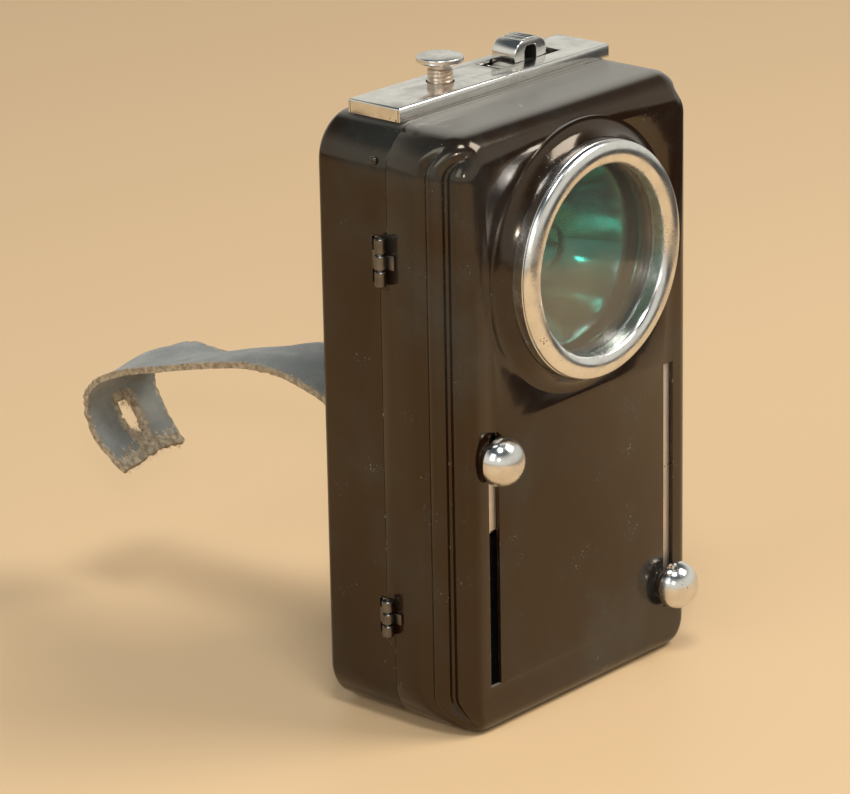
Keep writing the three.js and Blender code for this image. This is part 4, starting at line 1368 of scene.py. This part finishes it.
@dataclass
class Button(SubAssembly):
    """The mushroom button with its grooved neck."""

    head: float = 1.3 * MM
    stem: float = 2.4 * MM

    def build(self) -> None:
        """Models the button as two finishes on one turned piece."""
        box = Box.of("push_button")
        radius, top = box.size.x / 2, box.high.z
        under = top - self.head
        plate_top = Box.of("switch_plate").high.z
        rim = arc((radius - 0.3 * MM, top - 0.45 * MM), 0.3 * MM, 85, 0, 5)
        lower = arc((radius - 0.25 * MM, under + 0.3 * MM), 0.25 * MM, 0, -85, 4)
        crown = [(0.0, top), (radius * 0.55, top - 0.02 * MM), (radius - 0.45 * MM, top - 0.1 * MM)]
        head = [*crown, *rim, *lower]
        neck = [(self.stem - 0.1 * MM, under - 0.05 * MM), (self.stem - 0.55 * MM, under - 0.5 * MM)]
        neck += [(self.stem - 0.5 * MM, under - 1.1 * MM), (self.stem, under - 1.35 * MM)]
        barrel = []
        for ring in range(3):
            at = under - 1.6 * MM - ring * 0.75 * MM
            barrel += [(self.stem, at), (self.stem - 0.16 * MM, at - 0.12 * MM), (self.stem, at - 0.3 * MM)]
        foot = [(self.stem, plate_top - 0.9 * MM), (1.1 * MM, plate_top - 1.0 * MM), (1.1 * MM, box.low.z)]
        profile = [*head, *neck, *barrel, *foot, (0.0, box.low.z)]
        centre = Vector((box.centre.x, box.centre.y, 0.0))
        button = turned("button_key", profile, centre, Axis.Z, 64)
        smooth(button, 40)
        self.fit(button, Body.BUTTON, "chrome_plate", "push_button", finish=("ridge_chrome", "rusty_plate"))
        for face in button.data.polygons:
            face.material_index = int(face.center.z < under - 0.6 * MM)


@dataclass
class ThumbPiece(SubAssembly):
    """The arched thumb piece of the slide switch, with grip ridges and a mouth in front whose inside is
    painted near-black as shade.
    """

    foot_reach: float = 1.5 * MM
    foot_side: float = 0.6 * MM
    foot_sheet: float = 0.6 * MM
    shoulder: float = 2.7 * MM
    rim: float = 1.15 * MM
    mouth_share: float = 0.55
    mouth_depth: float = 3.4 * MM
    ridges: int = 5
    ridge_radius: float = 0.36 * MM

    def build(self) -> None:
        """Models the hood, its foot and its ridges."""
        box = Box.of("switch_slider")
        low = Vector((box.low.x + self.foot_reach, box.low.y + self.foot_side, box.low.z))
        crown = box.high.z - self.ridge_radius
        high = Vector((box.high.x - self.foot_reach, box.high.y - self.foot_side, crown))
        hood = cube("thumb_piece", low, high)
        top = high.z
        round_edges(
            hood,
            lambda a, b: min(a.z, b.z) > top - 1e-6 and abs(a.y - b.y) > 1 * MM,
            self.shoulder,
            10,
        )
        edit(hood)
        pick_faces(hood, lambda centre, normal: normal.y < -0.9)
        bpy.ops.mesh.inset(thickness=self.rim, depth=0.0)
        middle = ((low.x + high.x) / 2, low.y, (low.z + high.z) / 2)
        bpy.ops.transform.resize(value=(self.mouth_share, 1.0, 1.0), center_override=middle)
        bpy.ops.mesh.inset(thickness=0.12 * MM, depth=-0.12 * MM)
        bpy.ops.mesh.extrude_region_move(TRANSFORM_OT_translate={"value": (0.0, self.mouth_depth, 0.0)})
        shut()
        orient(hood)
        soften(hood, 0.22 * MM, segments=3, degrees=50)
        parts = [hood, *self._ridges(low, high), self._foot(box)]
        smooth(hood)
        piece = join("thumb_piece", parts)
        # The second finish is painted shade for the inside of the mouth.
        names = ("chrome_plate", "dark_mouth")
        self.fit(piece, Body.SLIDER, "chrome_plate", "switch_slider", finish=names)
        reach = low.y + 0.25 * MM
        half = ((high.x - low.x) / 2 - self.rim) * self.mouth_share
        middle = (low.x + high.x) / 2
        # Faces inside the mouth take the near-black painted shade.
        for face in piece.data.polygons:
            inside = face.center.y > reach and face.center.y < high.y - 1 * MM
            inside = inside and abs(face.center.x - middle) < half + 0.05 * MM
            inside = inside and low.z + self.rim - 0.1 * MM < face.center.z < top - self.rim + 0.05 * MM
            face.material_index = int(inside)

    def _ridges(self, low: Vector, high: Vector) -> list[bpy.types.Object]:
        """Small rounded bars across the crown."""
        made = []
        middle = (low.x + high.x) / 2
        half = (high.x - low.x) / 2
        spread = half - 0.3 * MM
        for index in range(self.ridges):
            turn = math.radians(90 + (index - (self.ridges - 1) / 2) * 17)
            x = middle - spread * math.cos(turn)
            drop = self.shoulder * (1 - math.sqrt(max(1 - (abs(x - middle) / half) ** 2, 0.0)))
            centre = Vector((x, low.y + 0.5 * MM, high.z - drop * 0.9))
            length = high.y - low.y - 1.0 * MM
            r = self.ridge_radius
            bar = [(0.0, -0.2 * MM), (r * 0.7, -0.12 * MM), (r, 0.1 * MM)]
            bar += [(r, length - 0.1 * MM), (r * 0.7, length + 0.12 * MM), (0.0, length + 0.2 * MM)]
            made.append(turned("ridge", bar, centre, Axis.Y, 14))
        return made

    def _foot(self, box: Box) -> bpy.types.Object:
        """The flat foot that runs under the plate."""
        high = Vector((box.high.x, box.high.y, box.low.z + self.foot_sheet))
        foot = cube("thumb_foot", box.low, high)
        soften(foot, 0.1 * MM)
        return foot


@dataclass
class Hinge(SubAssembly):
    """A rolled hinge: two tray knuckles and one cover knuckle round a pin."""

    name: str = "upper"
    barrel: float = 1.1 * MM
    pin: float = 0.5 * MM
    leaf: float = 0.35 * MM
    roll: int = 28

    def build(self) -> None:
        """Models the leaves, their knuckles and the pin."""
        self._leaf(f"hinge_tray_{self.name}", Body.CASE, 1)
        self._leaf(f"hinge_cover_{self.name}", Body.COVER, -1)
        box = Box.of(f"hinge_pin_{self.name}")
        radius, low, high = box.size.x / 2, box.low.z, box.high.z
        head = arc((radius - 0.15 * MM, low + 0.15 * MM), 0.15 * MM, -80, 0, 3)
        tail = arc((radius - 0.15 * MM, high - 0.15 * MM), 0.15 * MM, 0, 80, 3)
        centre = Vector((box.centre.x, box.centre.y, 0.0))
        pin = turned(f"pin_{self.name}", [(0.0, low), *head, *tail, (0.0, high)], centre, Axis.Z, 24)
        self.fit(pin, Body.CASE, "spring_steel", f"hinge_pin_{self.name}")

    def _leaf(self, node: str, body: Body, towards: int) -> None:
        """One leaf and its knuckles.

        Args:
            node: CAD node that the leaf stands for.
            body: Body that it moves with.
            towards: 1 if the leaf runs to the rear, -1 if it runs forwards.
        """
        box = Box.of(node)
        axis = Box.of(f"hinge_pin_{self.name}").centre
        whole = Box.of(f"hinge_tray_{self.name}")
        third = whole.size.z / 3
        if towards > 0:
            foot, head = whole.low.z, whole.high.z
            spans = [(foot, foot + third - 0.12 * MM), (head - third + 0.12 * MM, head)]
        else:
            spans = [(box.low.z, box.high.z)]
        parts = []
        for low, high in spans:
            bore, shoulder = self.pin + 0.08 * MM, self.barrel - 0.18 * MM
            profile = [(bore, low), (shoulder, low), (self.barrel, low + 0.18 * MM)]
            profile += [(self.barrel, high - 0.18 * MM), (shoulder, high), (bore, high), (bore, low)]
            centre = Vector((axis.x, axis.y, 0.0))
            parts.append(turned("knuckle", profile, centre, Axis.Z, self.roll))
            inner, outer = axis.y + towards * 0.2 * MM, box.high.y if towards > 0 else box.low.y
            y = sorted((inner, outer))
            wall = box.high.x
            tab = cube("leaf", (wall - self.leaf, y[0], low), (wall, y[1], high))
            soften(tab, 0.12 * MM)
            smooth(tab)
            parts.append(tab)
        if towards > 0:
            near = axis.y + self.barrel + 0.6 * MM
            inside = (box.high.x - self.leaf, near, whole.low.z)
            spine = cube("spine", inside, (box.high.x, box.high.y, whole.high.z))
            soften(spine, 0.12 * MM)
            smooth(spine)
            parts.append(spine)
        leaf = join(node.replace("hinge_", "leaf_"), parts)
        self.fit(leaf, body, "case_lacquer", node, finish=("worn_hinge",))


@dataclass
class Battery(SubAssembly):
    """The flat battery: a card case with a rolled top edge round a pitch seal."""

    corner: float = 9.0 * MM
    rim: float = 1.1 * MM
    pitch_drop: float = 1.2 * MM

    def build(self) -> None:
        """Models the battery."""
        box = Box.of("battery_case")
        pack = cube("battery_pack", box.low, box.high)
        round_edges(pack, along(Axis.Z), self.corner, 12)
        edit(pack)
        pick_faces(pack, lambda centre, normal: normal.z > 0.9)
        bpy.ops.mesh.inset(thickness=self.rim, depth=0.0)
        bpy.ops.mesh.extrude_region_move(TRANSFORM_OT_translate={"value": (0.0, 0.0, -self.pitch_drop)})
        shut()
        orient(pack)
        soften(pack, 0.3 * MM, segments=3, degrees=50)
        smooth(pack)
        self.fit(pack, Body.CASE, "battery_card", "battery_case", finish=("battery_card", "battery_pitch"))
        rim_foot = box.high.z - self.pitch_drop * 0.8
        for face in pack.data.polygons:
            face.material_index = int(face.normal.z > 0.9 and face.center.z < rim_foot)


@dataclass
class Strap(SubAssembly):
    """The leathercloth strap: a flat cut strip that hangs, arches out and curls under at its end.

    Both edge lines are (distance behind the rear wall, height), in millimetres.
    """

    width: float = 19 * MM
    length: float = 128 * MM
    thickness: float = 1.25 * MM
    left_edge: tuple = (
        (1.0, 79.0), (1.0, 70.0), (1.1, 61.0), (2.3, 55.2), (5.2, 54.2), (9.0, 56.3),
        (17.8, 58.4), (25.1, 58.9), (32.2, 58.0), (41.9, 56.0), (52.9, 52.9), (63.0, 50.0),
        (70.8, 46.2), (73.4, 41.8), (71.2, 35.0), (63.2, 29.4),
    )
    right_edge: tuple = (
        (1.0, 79.0), (1.0, 70.0), (1.1, 61.0), (2.3, 55.4), (5.2, 54.6), (9.0, 56.6),
        (17.8, 58.6), (25.8, 58.7), (33.4, 56.6), (42.6, 53.6), (51.0, 51.4), (61.0, 51.6),
        (69.6, 47.8), (73.0, 42.8), (70.4, 36.0), (65.0, 29.9),
    )
    buttonhole_at: float = 0.93
    buttonhole: tuple[float, float] = (4.0 * MM, 8.6 * MM)
    fray: float = 1.75
    columns: int = 46
    rows: int = 300

    def build(self) -> None:
        """Models the strap, its threads and its fixing."""
        strip = woven_grid("strap_cloth", self.columns, self.rows, self._place)
        self.palette.dress(strip, "strap_cloth", "frayed_core")
        self._tear_hole(strip)
        orient(strip)
        change(
            strip,
            "SOLIDIFY",
            thickness=self.thickness,
            offset=0.0,
            use_even_offset=True,
            material_offset_rim=1,
        )
        smooth(strip, 40)
        threads = self._threads()
        marks = [min(face.material_index, 1) for face in strip.data.polygons]
        self.fit(strip, Body.CASE, "strap_cloth", "strap", finish=("strap_cloth", "frayed_core"))
        for face, mark in zip(strip.data.polygons, marks):
            face.material_index = mark
        self._fixing()

    def _place(self, u: float, v: float) -> Vector:
        """Point of the middle surface at a share of the width and of the length."""
        box = Box.of("strap")
        left, right = spline(self.left_edge, v), spline(self.right_edge, v)
        out, up = left.lerp(right, u) * MM
        x = box.low.x + (0.01 + 0.98 * u) * box.size.x
        edge = 1 - min(u, 1 - u) * 2
        ragged = noise.noise(Vector((0.0 if u < 0.5 else 9.0, v * 70, 1.0)))
        ragged = ragged * 0.55 * MM * ease((edge - 0.8) / 0.2)
        x += ragged * (1 if u < 0.5 else -1)
        free = ease((v - 0.28) / 0.2)
        wave = noise.noise(Vector((u * 2.2, v * 9.0, 4.0))) * 0.9 * MM * free
        cup = math.sin(math.pi * u) * 0.7 * MM * free
        end = ease((v - 0.985) / 0.015) * noise.noise(Vector((u * 13, 3.0, 7.0))) * 1.1 * MM
        return Vector((x, self.datum.rear + out + end, up + wave + cup))

    def _tear_hole(self, strip: bpy.types.Object) -> None:
        """Opens the worn buttonhole, with a ragged outline."""
        along_half = self.buttonhole[1] / 2 / self.length
        across_half = self.buttonhole[0] / 2 / self.width
        flat = strip.data.uv_layers.active.data
        doomed, frayed = set(), set()
        for face in strip.data.polygons:
            u = sum(flat[i].uv.x for i in face.loop_indices) / face.loop_total
            v = sum(flat[i].uv.y for i in face.loop_indices) / face.loop_total
            gap = Vector(((v - self.buttonhole_at) / along_half, (u - 0.5) / across_half))
            tear = 1 + 0.35 * noise.noise(Vector((gap.normalized().x * 2.1, gap.normalized().y * 2.1, 5.0)))
            rough = noise.noise(Vector((u * 24, v * 150, 2.0)))
            if gap.length < tear:
                doomed.add(face.index)
            elif gap.length < tear * (self.fray + 0.5 * rough) or min(u, 1 - u) < 0.03 + 0.05 * rough:
                frayed.add(face.index)
            elif v > 0.975 + 0.02 * rough:
                frayed.add(face.index)
            face.material_index = int(face.index in frayed)
        edit(strip)
        bpy.ops.mesh.select_mode(type="FACE")
        mesh = bmesh.from_edit_mesh(strip.data)
        for face in mesh.faces:
            face.select_set(face.index in doomed)
        bmesh.update_edit_mesh(strip.data)
        bpy.ops.mesh.delete(type="FACE")
        shut()

    def _threads(self) -> bpy.types.Object:
        """Loose threads along the torn hole, the cut end and the edges."""
        roots: list[tuple[float, float, float, float]] = []
        hole = self.buttonhole_at
        for index in range(46):
            turn = 2 * math.pi * index / 46
            u = 0.5 + 0.098 * math.sin(turn)
            v = hole + 0.029 * math.cos(turn)
            roots.append((u, v, 0.5 - u, hole - v))
        for index in range(44):
            roots.append(((index + 0.5) / 44, 0.997, 0.0, 1.0))
        for index in range(70):
            v = 0.33 + 0.66 * (index + 0.5) / 70
            side = index % 2
            roots.append((0.01 + 0.98 * side, v, side - 0.5, 0.0))
        made = []
        for index, (u, v, lean_u, lean_v) in enumerate(roots):
            made.append(self._thread(index, u, v, lean_u, lean_v))
        threads = join("strap_threads", made)
        return self.fit(threads, Body.CASE, "strap_cloth", finish=("frayed_core",))

    def _thread(self, index: int, u: float, v: float, lean_u: float, lean_v: float) -> bpy.types.Object:
        """One short curled thread.

        Args:
            index: Number of the thread, which sets its curl.
            u: Share of the width at its root.
            v: Share of the length at its root.
            lean_u: How far it leans across the strap.
            lean_v: How far it leans along the strap.

        Returns:
            The thread as a thin three-sided bar.
        """
        root = self._place(min(max(u, 0.0), 1.0), min(v, 1.0))
        ahead = self._place(min(max(u, 0.0), 1.0), min(v + 0.004, 1.0)) - self._place(u, v - 0.004)
        across = Vector((1.0, 0.0, 0.0))
        pull = 0.3 if abs(lean_v) < 0.5 else 0.08
        way = (across * lean_u * 2 + ahead.normalized() * lean_v * 14 * pull).normalized()
        curl = Vector([noise.noise(Vector((index * 1.7, k, 2.0))) for k in (0.0, 5.0, 11.0)])
        length = (0.7 + 1.0 * abs(noise.noise(Vector((index * 0.9, 8.0, 1.0))))) * MM
        settle()
        bpy.ops.mesh.primitive_circle_add(vertices=3, radius=0.07 * MM, fill_type="NGON", location=root)
        thread = named("thread")
        edit(thread)
        bpy.ops.mesh.select_all(action="SELECT")
        tip = root
        for step in range(3):
            move = (way + curl * 0.8 * step) * (length / 3)
            bpy.ops.mesh.extrude_region_move(TRANSFORM_OT_translate={"value": move})
            tip = tip + move
            bpy.ops.transform.resize(value=(0.8, 0.8, 0.8), center_override=tip)
        shut()
        return thread

    def _fixing(self) -> None:
        """The clamp plate and the two rivets that hold the strap to the wall."""
        box = Box.of("strap_plate")
        plate = cube("strap_clamp", box.low, box.high)
        round_edges(plate, along(Axis.Y), 1.5 * MM, 6)
        soften(plate, 0.25 * MM, segments=3, degrees=60)
        smooth(plate)
        self.fit(plate, Body.CASE, "spring_steel", "strap_plate")
        for side in Side:
            node = f"strap_rivet_{side.name.lower()}"
            rivet_box = Box.of(node)
            centre = Vector((rivet_box.centre.x, 0.0, rivet_box.centre.z))
            radius = rivet_box.size.x / 2
            seat, crown = box.high.y + 0.03 * MM, rivet_box.high.y
            inner = rivet_box.low.y
            rise, turns = crown - seat, (0, 0.35, 0.7, 1.05, 1.35)
            head = [(radius * math.cos(t), seat + rise * math.sin(t)) for t in turns]
            tail = [(0.0, inner), (1.6 * MM, inner), (1.6 * MM, inner + 0.5 * MM)]
            shank = [(0.9 * MM, inner + 0.55 * MM), (0.9 * MM, seat)]
            profile = [*tail, *shank, *head, (0.0, crown)]
            rivet = turned(f"clamp_rivet_{side.name.lower()}", profile, centre, Axis.Y, 32)
            self.fit(rivet, Body.CASE, "spring_steel", node)


@dataclass
class InnerParts(SubAssembly):
    """CAD pieces whose shape is right: they only get their finishes."""

    finishes: dict[str, tuple[str, ...]] = field(
        default_factory=lambda: {
            "chrome_plate": ("green_carrier", "red_carrier"),
            "filter_green": ("green_filter",),
            "filter_red": ("red_filter",),
            "board_fibre": ("lamp_board",),
            "contact_brass": (
                "slider_contact",
                "contact_rail",
                "bulb_contact_leaf",
                "rail_rivet_left",
                "rail_rivet_right",
                "battery_short_strip",
                "battery_long_strip",
            ),
            "spring_steel": (
                "lens_retainer",
                "filter_guide_left",
                "filter_guide_right",
                "filter_back_plate",
                "button_collar",
                "button_spring",
                "catch_spring",
            ),
        }
    )

    def build(self) -> None:
        """Dresses each node."""
        for finish, nodes in self.finishes.items():
            for node in nodes:
                self.palette.dress(bpy.data.objects[node], finish)
                log.info("%s keeps its shape and takes %s", node, finish)


# ---------------------------------------------------------------- Studio


@dataclass
class Studio:
    """Pale floor, soft lights and the camera."""

    place: Vector = field(default_factory=lambda: Vector((-0.5767, -0.4895, 0.3171)))
    sight: Vector = field(default_factory=lambda: Vector((0.7068, 0.6274, -0.3267)))
    right: Vector = field(default_factory=lambda: Vector((0.6592, -0.7518, -0.0175)))
    lens_mm: float = 179.5
    floor_reach: float = 6.0
    table_edge: float = 0.29
    table_edge_way: tuple[float, float] = (0.748, -0.663)
    floor_colour: tuple = rgb(0.78, 0.53, 0.29)
    sky_colour: tuple = rgb(0.90, 0.88, 0.80)
    ceiling_colour: tuple = rgb(0.08, 0.10, 0.11)
    room_colour: tuple = rgb(0.09, 0.085, 0.08)
    sky_strength: float = 0.85

    def build(self) -> None:
        """Sets up the camera, the floor and the lights."""
        self._camera()
        self._floor()
        self._sky()
        self._lamp("key", (0.55, -0.60, 1.05), 0.55, 10.0, rgb(1.0, 0.97, 0.92))
        self._lamp("overhead", (-0.30, -0.34, 1.15), 0.30, 5.0, rgb(0.95, 0.98, 1.0))
        self._lamp("window", (-1.05, 0.0, 0.72), 0.55, 2.6, rgb(0.90, 0.96, 1.0))
        self._lamp("spark", self.place + Vector((0.0, 0.0, 0.07)), 0.05, 0.7, rgb(1.0, 1.0, 1.0))
        bpy.context.scene.view_settings.view_transform = "Standard"

    def _camera(self) -> None:
        """Adds the camera with its roll."""
        settle()
        bpy.ops.object.camera_add(location=self.place)
        camera = bpy.context.object
        back = -self.sight.normalized()
        right = self.right.normalized()
        camera.rotation_euler = Matrix((right, back.cross(right), back)).transposed().to_euler()
        camera.data.sensor_fit = "HORIZONTAL"
        camera.data.sensor_width = 36
        camera.data.lens = self.lens_mm
        camera.data.clip_start = 0.05
        camera.data.clip_end = 30
        bpy.context.scene.camera = camera

    def _floor(self) -> None:
        """Adds the plain floor."""
        settle()
        away = Vector((self.table_edge_way[0], self.table_edge_way[1], 0.0)).normalized()
        middle = away * (self.table_edge - self.floor_reach)
        turn = (0.0, 0.0, math.atan2(away.y, away.x))
        middle.z = -0.02 * MM
        bpy.ops.mesh.primitive_plane_add(size=2 * self.floor_reach, location=middle, rotation=turn)
        floor = named("floor")
        paint = Paint("floor")
        paint.lay("Base Color", self.floor_colour)
        paint.lay("Roughness", 0.55)
        floor.data.materials.append(paint.material)

    def _sky(self) -> None:
        """A surround that is pale at eye level and dim overhead."""
        world = bpy.data.worlds.new("surround")
        world.use_nodes = True
        wiring = Wiring(world.node_tree)
        way = wiring.node("TexCoord").outputs["Generated"]
        height = wiring.node("SeparateXYZ", {0: way}).outputs[2]
        overhead = wiring.ramp(height, 0.35, 0.75)
        below = wiring.ramp(height, 0.0, -0.12)
        colour = wiring.blend(overhead, self.sky_colour, self.ceiling_colour)
        colour = wiring.blend(below, colour, self.room_colour)
        background = world.node_tree.nodes["Background"]
        world.node_tree.links.new(colour, background.inputs["Color"])
        background.inputs["Strength"].default_value = self.sky_strength
        bpy.context.scene.world = world

    @staticmethod
    def _lamp(name: str, place: Sequence[float], size: float, power: float, colour: tuple) -> None:
        """Adds a square soft lamp that faces the torch.

        Args:
            name: Name of the lamp.
            place: Where it hangs.
            size: Side of its panel.
            power: Strength in watts.
            colour: Colour of the light.
        """
        settle()
        bpy.ops.object.light_add(type="AREA", location=place)
        lamp = bpy.context.object
        lamp.name = name
        lamp.data.size = size
        lamp.data.energy = power
        lamp.data.color = colour[:3]
        aim = Vector((0.0, 0.0, 0.06)) - Vector(place)
        lamp.rotation_euler = aim.to_track_quat("-Z", "Y").to_euler()


# ---------------------------------------------------------------- Assembly


def main() -> None:
    """Builds the torch's looks round the frame."""
    logging.basicConfig(level=logging.INFO, format="%(message)s")
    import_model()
    datum = Datum.read()
    Studio().build()
    palette = Palette.mixed()
    assemblies = (
        Tray(datum, palette),
        Cover(datum, palette),
        Lens(datum, palette),
        FilterKnob(datum, palette, Side.LEFT, Body.GREEN, "green"),
        FilterKnob(datum, palette, Side.RIGHT, Body.RED, "red", rib=(0.0, 49.0 * MM)),
        SwitchPlate(datum, palette),
        Button(datum, palette),
        ThumbPiece(datum, palette),
        Hinge(datum, palette, "upper"),
        Hinge(datum, palette, "lower"),
        Battery(datum, palette),
        Strap(datum, palette),
        InnerParts(datum, palette),
    )
    for assembly in assemblies:
        assembly.build()
    settle()


if __name__ == "__main__":
    main()
